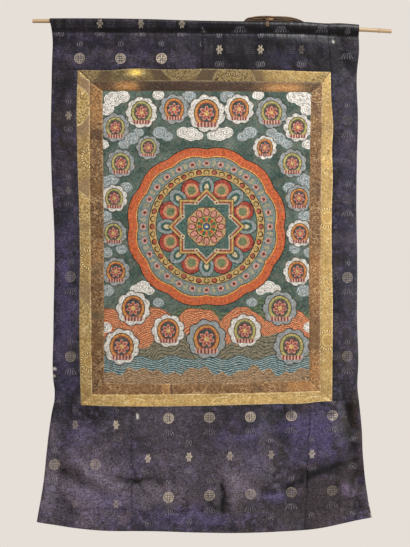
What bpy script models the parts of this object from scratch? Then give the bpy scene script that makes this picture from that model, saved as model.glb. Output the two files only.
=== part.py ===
# A thangka: a painted cotton canvas in two mitred brocade frames, on a dark silk brocade
# hanging whose top is sewn into a sleeve round a bamboo rod, with a silk ribbon tied behind it.
# Metres, +Z up. The front faces -Y. The origin is the middle of the rod.
import math

import bmesh
import bpy
import numpy as np

MM = 0.001

# Rod
ROD_LENGTH = 0.861
ROD_RADIUS = 0.0048
ROD_SLOPE = -0.0287
ROD_BOW = 0.00585
ROD_RING_X = 0.402
ROD_RING_SWELL = 1.16
ROD_RING_HALF = 0.0032
ROD_STEPS = 16

# Cloth
CLOTH_THICKNESS = 0.0012
SEAM_GAP = 0.00032
LAYER_GAP = 0.0005
SLEEVE_EASE = 0.0004
SLEEVE_FLAP = 0.008
PANEL_PLANE = 0.0025
EDGE_PULL_WIDTH = 0.06
TOP_SEAM_X = -0.025
SIDE_SEAM_X = 0.2785
SPLICE_Z = -0.508
HEM_SEAM_LEFT_X = -0.1935
HEM_SEAM_RIGHT_TOP_X = 0.235
HEM_SEAM_RIGHT_END_X = 0.2215
HEM_SHOULDER_Z = -0.903

# Steps along each shared seam, and rows down each panel
STEPS_BESIDE_FRAME = 3
STEPS_TOP_HALF = 9
STEPS_HEM = {"left": 4, "middle": 12, "right": 2}
STEPS_DOWN_HALF = 12
STEPS_TOP_PANEL = 4
STEPS_HEM_PANEL = 14
HEM_REFINE = 2

# Free edges of the cloth, in millimetres
LEFT_EDGE = (
    ("z", "x"),
    (10, -389), (-19, -384.5), (-113, -385), (-305, -387), (-377, -385), (-497, -379), (-737, -381),
    (-857, -381), (-881, -378), (-905, -379), (-929, -384), (-1025, -396), (-1097, -403.5), (-1195, -420),
)
RIGHT_EDGE = (
    ("z", "x"),
    (-3, 351), (-70, 353), (-113, 348.5), (-233, 350.5), (-329, 348), (-425, 347), (-593, 349), (-713, 348.5),
    (-809, 351.5), (-881, 350), (-905, 353), (-977, 360), (-1025, 362), (-1121, 372), (-1145, 375), (-1184, 383.5),
)
HEM = (
    ("x", "z"),
    (-420, -1195), (-364, -1206), (-268, -1217), (-152, -1218), (1, -1223), (155, -1220), (251, -1213),
    (328, -1197), (383.5, -1184),
)

# Seam lines round the painting, in millimetres
FRAME_TOP = (
    ("x", "z"),
    (-322, -110.5), (-248, -111.5), (-191, -107.5), (-104, -109.5), (-25, -108), (68, -109.5), (184, -112),
    (241, -114.5), (285, -115),
)
FRAME_BOTTOM = (
    ("x", "z"),
    (-315, -915.5), (-248, -918), (-104, -918.5), (68, -915), (155, -912.5), (212, -912), (270, -906.5),
    (288.5, -906),
)
FRAME_LEFT = (
    ("z", "x"),
    (-110.5, -322), (-194, -325), (-295, -324), (-439, -319.5), (-525, -317.5), (-698, -318.5),
    (-815, -317.5), (-915.5, -315),
)
FRAME_RIGHT = (
    ("z", "x"),
    (-115, 285), (-180, 286.5), (-251, 291), (-295, 288.5), (-367, 290), (-439, 288), (-568, 288),
    (-669, 290), (-784, 289.5), (-906, 288.5),
)
# Corners of the line between the gold and the copper frame, and of the painted canvas
INNER_CORNERS = {
    "top_left": (-294, -137),
    "top_right": (265, -141),
    "low_left": (-288.5, -890.5),
    "low_right": (260, -882.5),
}
CANVAS_CORNERS = {
    "top_left": (-263, -161.5),
    "top_right": (238, -164.5),
    "low_left": (-259, -862.5),
    "low_right": (234, -856),
}
# How far the middle of each side leaves the straight line between its corners, outwards
INNER_BOW = {"top": 2.0, "low": 2.5, "left": 1.0, "right": -1.0}
CANVAS_BOW = {"top": 1.0, "low": 4.5, "left": -1.0, "right": -3.0}

# Height of the cloth above the middle of the rod, and the line of stitches under it
SLEEVE_RISE = (
    ("x", "rise"),
    (-389, 6.6), (-306, 7.2), (-133, 7.4), (-76, 6.7), (-18, 6.7), (59, 7.8), (232, 12.2), (270, 11), (308, 13),
    (352, 12),
)
STITCH_LINE = (
    ("x", "z"),
    (-389, -20.5), (0, -23.5), (230, -26), (352, -32),
)

# Soft ridges (rise above 0) and valleys (below 0) along a line, in millimetres
FOLDS = (
    ("place", "x1", "z1", "x2", "z2", "width", "rise"),
    ("corner valley", 121, -1120, 337, -1029, 17, -7.0),
    ("corner ridge", 140, -1091, 320, -1002, 26, 5.0),
    ("corner hollow", 205, -1170, 352, -1105, 48, -7.0),
    ("bright fold", 110, -1094, 146, -1114, 15, 5.0),
    ("dimple", -208, -1101, -131, -1099, 11, -5.0),
    ("over the dimple", -228, -1080, -140, -1070, 17, 3.0),
    ("swirl start", -349, -1029, -306, -1082, 15, 5.0),
    ("swirl end", -306, -1082, -236, -1112, 15, 5.0),
    ("swirl valley", -340, -1075, -268, -1130, 14, -5.0),
    ("swirl top", -330, -1000, -262, -1040, 18, 3.0),
    ("middle crease", 22, -1104, 25, -1170, 11, -5.0),
    ("beside the crease", 44, -1098, 49, -1175, 15, 3.5),
    ("left corner lift", -402, -1000, -416, -1190, 34, 9.0),
    ("left flare valley", -352, -930, -372, -1180, 22, -4.0),
    ("right edge lift", 322, -1118, 350, -1131, 14, 5.0),
    ("right edge valley", 352, -1090, 346, -1146, 11, -5.0),
    ("right corner lift", 372, -1140, 381, -1184, 22, 6.0),
    ("right shoulder valley", 318, -914, 332, -967, 13, -4.5),
    ("right shoulder ridge", 286, -962, 304, -1029, 17, 4.0),
    ("hem wave one", -28, -960, -16, -1210, 40, -3.0),
    ("hem wave two", 95, -960, 107, -1072, 30, 4.0),
    ("hem wave three", -150, -950, -160, -1210, 45, 3.0),
    ("hem wave four", 160, -940, 165, -1010, 30, -3.0),
    ("pull from the tie", 121, -34, 284, -55, 16, 3.0),
    ("top right valley", 304, -30, 320, -103, 14, -3.0),
    ("top left valley", -380, -45, -244, -60, 14, -2.0),
    ("top middle swell", -100, -70, 60, -75, 30, 2.0),
    ("rolling crease one", -385, -312, 346, -318, 12, -1.6),
    ("rolling crease two", -380, -452, 346, -440, 12, -1.6),
    ("rolling crease three", -379, -566, 347, -575, 12, -1.4),
    ("rolling crease four", -380, -700, 347, -690, 12, -1.4),
    ("canvas swell", -40, -380, 10, -640, 190, 2.5),
    ("left strip swell", -350, -180, -350, -820, 22, 2.0),
    ("right strip swell", 318, -180, 320, -820, 22, 2.0),
)

# Ribbon behind the sleeve: its upper edge, in millimetres
TIE_TOP = (
    ("x", "z"),
    (74, 4), (80, 12), (97, 18), (116, 20.5), (136, 21.5), (155, 20.5), (174, 19.3), (193, 16.8), (212, 11.5),
    (226, 4),
)
TIE_DEPTH = 0.0062
TIE_END_SHARE = 0.45
TIE_TUCK = 0.0085
TIE_GATHERS = 5
TIE_STEPS = 18
TIE_ROUND = 12
KNOT_X = 0.138
KNOT_SIZE = (0.021, 0.0082, 0.0086)
KNOT_FOLDS = 4
KNOT_Y = 0.001
END_WIDTH = 0.0075
END_X = 0.1325
END_THICKNESS = 0.001
END_ARC = (20, 118)


def column(table, name):
    # One named column of a table, in metres
    place = table[0].index(name)
    return np.array([row[place] for row in table[1:]], dtype=float) * MM


def smooth(table, key, value):
    # A cubic through the rows of a table, with slopes from the neighbouring rows
    keys = column(table, key)
    values = column(table, value)
    order = np.argsort(keys)
    keys = keys[order]
    values = values[order]
    slopes = np.gradient(values, keys)

    def curve(at):
        at = np.clip(np.asarray(at, dtype=float), keys[0], keys[-1])
        low = np.clip(np.searchsorted(keys, at) - 1, 0, len(keys) - 2)
        span = keys[low + 1] - keys[low]
        t = (at - keys[low]) / span
        near = (1 + 2 * t) * (1 - t) ** 2 * values[low] + t * (1 - t) ** 2 * span * slopes[low]
        far = t * t * (3 - 2 * t) * values[low + 1] + t * t * (t - 1) * span * slopes[low + 1]
        return near + far

    return curve


left_edge = smooth(LEFT_EDGE, "z", "x")
right_edge = smooth(RIGHT_EDGE, "z", "x")
hem = smooth(HEM, "x", "z")
frame_top = smooth(FRAME_TOP, "x", "z")
frame_bottom = smooth(FRAME_BOTTOM, "x", "z")
frame_left = smooth(FRAME_LEFT, "z", "x")
frame_right = smooth(FRAME_RIGHT, "z", "x")
sleeve_rise = smooth(SLEEVE_RISE, "x", "rise")
stitch_line = smooth(STITCH_LINE, "x", "z")
tie_top = smooth(TIE_TOP, "x", "z")


def rod_height(x):
    # The stick slopes down to the right and is bowed upwards
    return ROD_SLOPE * x - ROD_BOW * (2 * x / ROD_LENGTH) ** 2


def relief(x, z):
    # How far back the cloth's middle lies at a point of its front view: the sum of the folds,
    # each a bell curve of the distance to its line
    forward = np.zeros_like(x)
    ends = [column(FOLDS, name) for name in ("x1", "z1", "x2", "z2", "width", "rise")]
    for x1, z1, x2, z2, width, rise in zip(*ends):
        along_x = x2 - x1
        along_z = z2 - z1
        t = ((x - x1) * along_x + (z - z1) * along_z) / (along_x ** 2 + along_z ** 2)
        t = np.clip(t, 0, 1)
        squared = (x - x1 - t * along_x) ** 2 + (z - z1 - t * along_z) ** 2
        forward = forward + rise * np.exp(-squared / width ** 2)
    return PANEL_PLANE - forward


def across(line, x1, x2, steps):
    # Points of a seam that runs from left to right
    x = np.linspace(x1, x2, steps + 1)
    return np.column_stack([x, line(x)])


def down(line, z1, z2, steps):
    # Points of a seam that runs from top to bottom
    z = np.linspace(z1, z2, steps + 1)
    return np.column_stack([line(z), z])


def straight(start, end, steps, bow=0.0):
    # A straight seam, or a shallow parabola that leaves the straight line by bow at its middle
    t = np.linspace(0, 1, steps + 1)[:, None]
    start = np.array(start, dtype=float)
    end = np.array(end, dtype=float)
    side = np.array([end[1] - start[1], start[0] - end[0]])
    side = side / np.hypot(*side)
    return start + (end - start) * t + side * (4 * bow * t * (1 - t))


def chain(*runs):
    # Seam runs joined end to end
    points = [runs[0]]
    for run in runs[1:]:
        points.append(run[1:])
    return np.vstack(points)


def refine(points, parts):
    # Each stretch of a seam cut into equal parts, on the same line
    steps = np.arange(parts) / parts
    first = points[:-1, None, :]
    last = points[1:, None, :]
    inner = (first + (last - first) * steps[None, :, None]).reshape(-1, 2)
    return np.vstack([inner, points[-1]])


def inset(loop, distance):
    # A closed outline, counter-clockwise, moved inwards by the distance at every point
    before = loop - np.roll(loop, 1, axis=0)
    after = np.roll(loop, -1, axis=0) - loop
    before = before / np.hypot(*before.T)[:, None]
    after = after / np.hypot(*after.T)[:, None]
    normal_before = np.column_stack([-before[:, 1], before[:, 0]])
    normal_after = np.column_stack([-after[:, 1], after[:, 0]])
    share = 1 + (normal_before * normal_after).sum(axis=1)
    return loop + distance * (normal_before + normal_after) / share[:, None]


def patch(top, bottom, left, right):
    # A grid between four seams (top and bottom from left to right, left and right from top to
    # bottom), drawn in by half the seam gap and filled as a Coons patch
    columns = len(top) - 1
    rows = len(left) - 1
    loop = np.vstack([left[:-1], bottom[:-1], right[::-1][:-1], top[::-1][:-1]])
    loop = inset(loop, SEAM_GAP / 2)
    loop = np.vstack([loop, loop[0]])
    left = loop[:rows + 1]
    bottom = loop[rows:rows + columns + 1]
    right = loop[rows + columns:2 * rows + columns + 1][::-1]
    top = loop[2 * rows + columns:][::-1]
    u = np.linspace(0, 1, columns + 1)[None, :, None]
    v = np.linspace(0, 1, rows + 1)[:, None, None]
    ruled = (1 - v) * top[None] + v * bottom[None] + (1 - u) * left[:, None] + u * right[:, None]
    corners = (1 - u) * ((1 - v) * top[0] + v * bottom[0]) + u * ((1 - v) * top[-1] + v * bottom[-1])
    return ruled - corners


def on_relief(flat):
    # A grid of front-view points laid on the folds
    x = flat[..., 0]
    z = flat[..., 1]
    return np.stack([x, relief(x, z), z], axis=-1)


def ease_in_out(t):
    return t * t * (3 - 2 * t)


def sleeve(top_row):
    # The rows of the sleeve above the stitches, for each point of the panel's top row: up from
    # a flap behind the panel, over the rod in half an ellipse, and down the front to the stitches
    x = top_row[:, 0]
    stitch_y = top_row[:, 1]
    stitch_z = top_row[:, 2]
    rod_z = rod_height(x)
    reach = ROD_RADIUS + SLEEVE_EASE + CLOTH_THICKNESS / 2
    top = sleeve_rise(x) - CLOTH_THICKNESS / 2
    back_y = stitch_y + CLOTH_THICKNESS + LAYER_GAP
    section = []
    for t in (1.0, 0.5):
        section.append((back_y, stitch_z - SLEEVE_FLAP * t))
    for t in (0.0, 0.33, 0.67):
        section.append((back_y + (reach - back_y) * ease_in_out(t), stitch_z + (rod_z - stitch_z) * t))
    for angle in np.radians(np.arange(90, -91, -22.5)):
        section.append((reach * math.sin(angle) + 0 * x, rod_z + top * math.cos(angle)))
    for t in (0.25, 0.5, 0.75):
        section.append((-reach + (stitch_y + reach) * ease_in_out(t), rod_z + (stitch_z - rod_z) * t))
    pull = np.clip(1 - (x - left_edge(stitch_z)) / EDGE_PULL_WIDTH, 0, 1)
    rows = []
    for y, z in section:
        rows.append(np.column_stack([x + pull * (left_edge(z) - left_edge(stitch_z)), y, z]))
    return np.stack(rows)


def with_sleeve(flat):
    # A panel that goes on into the sleeve
    panel = on_relief(flat)
    return np.concatenate([sleeve(panel[0]), panel])


def principled(name, colour, roughness, metallic=0.0):
    material = bpy.data.materials.new(name)
    material.use_nodes = True
    shader = material.node_tree.nodes["Principled BSDF"]
    shader.inputs["Base Color"].default_value = (*colour, 1.0)
    shader.inputs["Roughness"].default_value = roughness
    shader.inputs["Metallic"].default_value = metallic
    material.diffuse_color = (*colour, 1.0)
    return material


def add_object(name, mesh, material, collection):
    mesh.materials.clear()
    mesh.materials.append(material)
    thing = bpy.data.objects.new(name, mesh)
    collection.objects.link(thing)
    mesh.shade_smooth()
    mesh.set_sharp_from_angle(angle=math.radians(40))
    return thing


def sheet(name, points, material, collection, thickness=CLOTH_THICKNESS):
    # A grid moved to its points and given the cloth's thickness
    rows, columns = points.shape[:2]
    cage = bmesh.new()
    bmesh.ops.create_grid(cage, x_segments=columns - 1, y_segments=rows - 1, size=0.5)
    for vertex, point in zip(cage.verts, points.reshape(-1, 3)):
        vertex.co = point
    mesh = bpy.data.meshes.new(name)
    cage.to_mesh(mesh)
    cage.free()
    thing = add_object(name, mesh, material, collection)
    thicken = thing.modifiers.new("thickness", "SOLIDIFY")
    thicken.thickness = thickness
    thicken.offset = 0
    return thing


def build_rod(material, collection):
    curve = bpy.data.curves.new("rod", "CURVE")
    curve.dimensions = "3D"
    curve.bevel_depth = ROD_RADIUS
    curve.bevel_resolution = 4
    curve.use_fill_caps = True
    even = list(np.linspace(-ROD_LENGTH / 2, ROD_LENGTH / 2, ROD_STEPS + 1))
    ring = [ROD_RING_X - ROD_RING_HALF, ROD_RING_X, ROD_RING_X + ROD_RING_HALF]
    stations = sorted(even + ring)
    spline = curve.splines.new("POLY")
    spline.points.add(len(stations) - 1)
    for point, x in zip(spline.points, stations):
        point.co = (x, 0, rod_height(x), 1)
        point.radius = ROD_RING_SWELL if x == ROD_RING_X else 1.0
    rod = bpy.data.objects.new("rod", curve)
    collection.objects.link(rod)
    curve.materials.append(material)
    return rod


def build_tie_band(material, collection):
    # Gathered ribbon behind the sleeve: ellipses with small gathers, lofted from end to end
    x_values = column(TIE_TOP, "x")
    u = np.linspace(0, 1, TIE_STEPS + 1)
    x = x_values[0] + (x_values[-1] - x_values[0]) * (1 - np.cos(math.pi * u)) / 2
    high = tie_top(x)
    low = rod_height(x) + sleeve_rise(x) - TIE_TUCK
    low = np.minimum(low, high - TIE_DEPTH)
    deep = TIE_DEPTH / 2 * (TIE_END_SHARE + (1 - TIE_END_SHARE) * np.sin(math.pi * u) ** 0.5)
    front = ROD_RADIUS + SLEEVE_EASE + CLOTH_THICKNESS + SEAM_GAP
    around = (np.arange(TIE_ROUND) * 2 * math.pi / TIE_ROUND)[None, :]
    gathers = 1 - 0.1 * (1 + np.cos(TIE_GATHERS * around + 3 * u[:, None])) / 2
    y = front + deep[:, None] * (1 - gathers * np.cos(around))
    z = (high + low)[:, None] / 2 + (high - low)[:, None] / 2 * gathers * np.sin(around)
    rings = np.stack([np.broadcast_to(x[:, None], y.shape), y, z], axis=-1)
    cage = bmesh.new()
    loops = []
    for ring in rings:
        loops.append([cage.verts.new(point) for point in ring])
    for first, second in zip(loops[:-1], loops[1:]):
        for i in range(TIE_ROUND):
            j = (i + 1) % TIE_ROUND
            cage.faces.new((first[i], first[j], second[j], second[i]))
    cage.faces.new(loops[0])
    cage.faces.new(loops[-1])
    bmesh.ops.recalc_face_normals(cage, faces=cage.faces)
    mesh = bpy.data.meshes.new("tie_band")
    cage.to_mesh(mesh)
    cage.free()
    add_object("tie_band", mesh, material, collection)


def build_tie_knot(material, collection):
    # A small bunched knot that sits on top of the sleeve, in front of the band
    cage = bmesh.new()
    bmesh.ops.create_uvsphere(cage, u_segments=16, v_segments=10, radius=0.5)
    seat = rod_height(KNOT_X) + float(sleeve_rise(KNOT_X)) + SEAM_GAP + KNOT_SIZE[2] / 2
    for vertex in cage.verts:
        turn = math.atan2(vertex.co.z, vertex.co.y)
        crumple = 1 - 0.1 * (1 - math.cos(KNOT_FOLDS * turn + 5 * vertex.co.x)) / 2
        vertex.co.x = KNOT_X + vertex.co.x * KNOT_SIZE[0]
        vertex.co.y = KNOT_Y + vertex.co.y * KNOT_SIZE[1] * crumple
        vertex.co.z = seat + vertex.co.z * KNOT_SIZE[2] * crumple
    mesh = bpy.data.meshes.new("tie_knot")
    cage.to_mesh(mesh)
    cage.free()
    add_object("tie_knot", mesh, material, collection)


def build_tie_end(material, collection):
    # The ribbon's short end, which hangs from the knot down the front of the sleeve
    angles = np.radians(np.linspace(*END_ARC, 7))
    x = np.linspace(END_X - END_WIDTH / 2, END_X + END_WIDTH / 2, 3)
    lift = CLOTH_THICKNESS / 2 + SEAM_GAP + END_THICKNESS / 2
    reach = ROD_RADIUS + SLEEVE_EASE + CLOTH_THICKNESS / 2 + lift
    rise = sleeve_rise(x) - CLOTH_THICKNESS / 2 + lift
    y = -reach * np.sin(angles)[:, None] + 0 * x[None, :]
    z = rod_height(x)[None, :] + rise[None, :] * np.cos(angles)[:, None]
    past = np.clip(angles - math.pi / 2, 0, None)[:, None]
    y = np.where(past > 0, -reach * (1 - 0.1 * past), y)
    z = np.where(past > 0, rod_height(x)[None, :] - reach * past, z)
    points = np.stack([np.broadcast_to(x[None, :], y.shape), y, z], axis=-1)
    sheet("tie_end", points, material, collection, END_THICKNESS)


def build_seams():
    # Every line where two pieces meet, from left to right or from top to bottom
    inner = {name: np.array(corner) * MM for name, corner in INNER_CORNERS.items()}
    canvas = {name: np.array(corner) * MM for name, corner in CANVAS_CORNERS.items()}
    gold = {
        "top_left": np.array([column(FRAME_TOP, "x")[0], column(FRAME_TOP, "z")[0]]),
        "top_right": np.array([column(FRAME_TOP, "x")[-1], column(FRAME_TOP, "z")[-1]]),
        "low_left": np.array([column(FRAME_BOTTOM, "x")[0], column(FRAME_BOTTOM, "z")[0]]),
        "low_right": np.array([column(FRAME_BOTTOM, "x")[-1], column(FRAME_BOTTOM, "z")[-1]]),
    }
    shoulder_left = (float(left_edge(gold["top_left"][1])), gold["top_left"][1])
    hip_left = (float(left_edge(HEM_SHOULDER_Z)), HEM_SHOULDER_Z)
    hip_right = (float(right_edge(HEM_SHOULDER_Z)), HEM_SHOULDER_Z)
    splice_left = (float(left_edge(SPLICE_Z)), SPLICE_Z)
    splice_right = (float(frame_left(SPLICE_Z)), SPLICE_Z)
    wide = 2 * STEPS_TOP_HALF
    tall = 2 * STEPS_DOWN_HALF
    seams = {
        "top_shoulder": straight(shoulder_left, gold["top_left"], STEPS_BESIDE_FRAME),
        "gold_top_a": across(frame_top, gold["top_left"][0], TOP_SEAM_X, STEPS_TOP_HALF),
        "gold_top_b": across(frame_top, TOP_SEAM_X, gold["top_right"][0], STEPS_TOP_HALF),
        "gold_low_a": across(frame_bottom, gold["low_left"][0], HEM_SEAM_LEFT_X, STEPS_HEM["left"]),
        "gold_low_b": across(frame_bottom, HEM_SEAM_LEFT_X, HEM_SEAM_RIGHT_TOP_X, STEPS_HEM["middle"]),
        "gold_low_c": across(frame_bottom, HEM_SEAM_RIGHT_TOP_X, gold["low_right"][0], STEPS_HEM["right"]),
        "gold_left_a": down(frame_left, gold["top_left"][1], SPLICE_Z, STEPS_DOWN_HALF),
        "gold_left_b": down(frame_left, SPLICE_Z, gold["low_left"][1], STEPS_DOWN_HALF),
        "gold_right": down(frame_right, gold["top_right"][1], gold["low_right"][1], tall),
        "hip_left": straight(hip_left, gold["low_left"], STEPS_BESIDE_FRAME),
        "hip_right": straight(gold["low_right"], hip_right, STEPS_BESIDE_FRAME),
        "splice": straight(splice_left, splice_right, STEPS_BESIDE_FRAME),
        "edge_left_a": down(left_edge, shoulder_left[1], SPLICE_Z, STEPS_DOWN_HALF),
        "edge_left_b": down(left_edge, SPLICE_Z, HEM_SHOULDER_Z, STEPS_DOWN_HALF),
    }
    for name, corner, bow in (("inner", inner, INNER_BOW), ("canvas", canvas, CANVAS_BOW)):
        seams[name + "_top"] = straight(corner["top_left"], corner["top_right"], wide, -bow["top"] * MM)
        seams[name + "_low"] = straight(corner["low_left"], corner["low_right"], wide, bow["low"] * MM)
        seams[name + "_left"] = straight(corner["top_left"], corner["low_left"], tall, bow["left"] * MM)
        seams[name + "_right"] = straight(corner["top_right"], corner["low_right"], tall, -bow["right"] * MM)
    for corner in gold:
        seams["gold_mitre_" + corner] = straight(gold[corner], inner[corner], 1)
        seams["copper_mitre_" + corner] = straight(inner[corner], canvas[corner], 1)
    return seams


def build_frames(seams, gold, copper, painted, collection):
    # Two mitred frames of four strips each, and the canvas inside them
    gold_top = chain(seams["gold_top_a"], seams["gold_top_b"])
    gold_low = chain(seams["gold_low_a"], seams["gold_low_b"], seams["gold_low_c"])
    gold_left = chain(seams["gold_left_a"], seams["gold_left_b"])
    rings = (
        ("gold", gold, (gold_top, gold_low, gold_left, seams["gold_right"]), "inner"),
        ("copper", copper, [seams["inner_" + side] for side in ("top", "low", "left", "right")], "canvas"),
    )
    for name, material, outer, inside in rings:
        top, low, left, right = outer
        mitre = {corner: seams[name + "_mitre_" + corner] for corner in INNER_CORNERS}
        within = {side: seams[inside + "_" + side] for side in ("top", "low", "left", "right")}
        strips = {
            "top": patch(top, within["top"], mitre["top_left"], mitre["top_right"]),
            "bottom": patch(within["low"], low, mitre["low_left"][::-1], mitre["low_right"][::-1]),
            "left": patch(mitre["top_left"], mitre["low_left"], left, within["left"]),
            "right": patch(mitre["top_right"][::-1], mitre["low_right"][::-1], within["right"], right),
        }
        for side, flat in strips.items():
            sheet(name + "_strip_" + side, on_relief(flat), material, collection)
    canvas = [seams["canvas_" + side] for side in ("top", "low", "left", "right")]
    sheet("painted_canvas", on_relief(patch(*canvas)), painted, collection)


def build_top_panels(seams, silk, collection):
    # Two panels above the frame and the long right strip, all three with a part of the sleeve
    left_x = float(left_edge(stitch_line(column(STITCH_LINE, "x")[0])))
    right_x = float(right_edge(stitch_line(column(STITCH_LINE, "x")[-1])))
    wide_left = STEPS_BESIDE_FRAME + STEPS_TOP_HALF
    top = across(stitch_line, left_x, TOP_SEAM_X, wide_left)
    low = chain(seams["top_shoulder"], seams["gold_top_a"])
    left = down(left_edge, top[0, 1], low[0, 1], STEPS_TOP_PANEL)
    right = straight(top[-1], low[-1], STEPS_TOP_PANEL)
    sheet("top_panel_left", with_sleeve(patch(top, low, left, right)), silk, collection)

    middle = across(stitch_line, TOP_SEAM_X, SIDE_SEAM_X, STEPS_TOP_HALF)
    strip_side = straight(middle[-1], seams["gold_top_b"][-1], STEPS_TOP_PANEL)
    flat = patch(middle, seams["gold_top_b"], right, strip_side)
    sheet("top_panel_right", with_sleeve(flat), silk, collection)

    top = across(stitch_line, SIDE_SEAM_X, right_x, STEPS_BESIDE_FRAME)
    inside = chain(strip_side, seams["gold_right"])
    upper = down(right_edge, top[-1, 1], inside[STEPS_TOP_PANEL, 1], STEPS_TOP_PANEL)
    lower = down(right_edge, inside[STEPS_TOP_PANEL, 1], HEM_SHOULDER_Z, 2 * STEPS_DOWN_HALF)
    flat = patch(top, seams["hip_right"], inside, chain(upper, lower))
    sheet("side_strip_right", with_sleeve(flat), silk, collection)


def build_left_strip(seams, silk, collection):
    # The left strip, spliced about half way down
    upper = patch(seams["top_shoulder"], seams["splice"], seams["edge_left_a"], seams["gold_left_a"])
    sheet("side_strip_left_upper", on_relief(upper), silk, collection)
    lower = patch(seams["splice"], seams["hip_left"], seams["edge_left_b"], seams["gold_left_b"])
    sheet("side_strip_left_lower", on_relief(lower), silk, collection)


def build_hem_panels(seams, silk, collection):
    # Three panels below the frame, wider at the curved hem
    left_side = down(left_edge, HEM_SHOULDER_Z, column(HEM, "z")[0], STEPS_HEM_PANEL)
    right_side = down(right_edge, HEM_SHOULDER_Z, column(HEM, "z")[-1], STEPS_HEM_PANEL)
    tops = {
        "left": refine(chain(seams["hip_left"], seams["gold_low_a"]), HEM_REFINE),
        "middle": refine(seams["gold_low_b"], HEM_REFINE),
        "right": refine(chain(seams["gold_low_c"], seams["hip_right"]), HEM_REFINE),
    }
    low_left = (HEM_SEAM_LEFT_X, float(hem(HEM_SEAM_LEFT_X)))
    low_right = (HEM_SEAM_RIGHT_END_X, float(hem(HEM_SEAM_RIGHT_END_X)))
    seam_left = straight(tops["middle"][0], low_left, STEPS_HEM_PANEL)
    seam_right = straight(tops["middle"][-1], low_right, STEPS_HEM_PANEL)
    spans = (
        ("left", left_side, seam_left),
        ("middle", seam_left, seam_right),
        ("right", seam_right, right_side),
    )
    for name, left, right in spans:
        low = across(hem, left[-1, 0], right[-1, 0], len(tops[name]) - 1)
        sheet("hem_panel_" + name, on_relief(patch(tops[name], low, left, right)), silk, collection)


def build():
    for old in list(bpy.data.objects):
        bpy.data.objects.remove(old, do_unlink=True)
    collection = bpy.data.collections.new("thangka")
    bpy.context.scene.collection.children.link(collection)
    bamboo = principled("bamboo", (0.68, 0.48, 0.24), 0.5)
    silk = principled("dark_silk_brocade", (0.03, 0.026, 0.055), 0.55)
    gold = principled("gold_brocade", (0.5, 0.33, 0.11), 0.5, 0.2)
    copper = principled("copper_brocade", (0.28, 0.13, 0.045), 0.5, 0.2)
    painted = principled("painted_cotton", (0.09, 0.13, 0.11), 0.8)
    ribbon = principled("brown_silk_ribbon", (0.2, 0.11, 0.04), 0.5)
    build_rod(bamboo, collection)
    seams = build_seams()
    build_top_panels(seams, silk, collection)
    build_left_strip(seams, silk, collection)
    build_frames(seams, gold, copper, painted, collection)
    build_hem_panels(seams, silk, collection)
    build_tie_band(ribbon, collection)
    build_tie_knot(ribbon, collection)
    build_tie_end(ribbon, collection)


build()
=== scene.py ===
import math
from functools import partial

import bmesh
import bpy
import numpy as np
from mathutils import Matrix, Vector


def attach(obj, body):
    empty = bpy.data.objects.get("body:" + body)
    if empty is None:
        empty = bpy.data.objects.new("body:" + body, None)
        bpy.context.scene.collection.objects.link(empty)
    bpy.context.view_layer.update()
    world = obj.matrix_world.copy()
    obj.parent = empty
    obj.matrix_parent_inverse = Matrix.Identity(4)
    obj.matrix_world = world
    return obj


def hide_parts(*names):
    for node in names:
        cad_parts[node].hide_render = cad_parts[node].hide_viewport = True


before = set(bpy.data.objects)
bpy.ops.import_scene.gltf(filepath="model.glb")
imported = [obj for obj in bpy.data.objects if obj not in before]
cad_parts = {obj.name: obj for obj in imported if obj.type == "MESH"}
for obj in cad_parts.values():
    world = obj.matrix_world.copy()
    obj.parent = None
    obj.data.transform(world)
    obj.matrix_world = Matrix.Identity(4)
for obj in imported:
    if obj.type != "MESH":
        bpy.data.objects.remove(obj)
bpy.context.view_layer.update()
mm = 0.001

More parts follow.
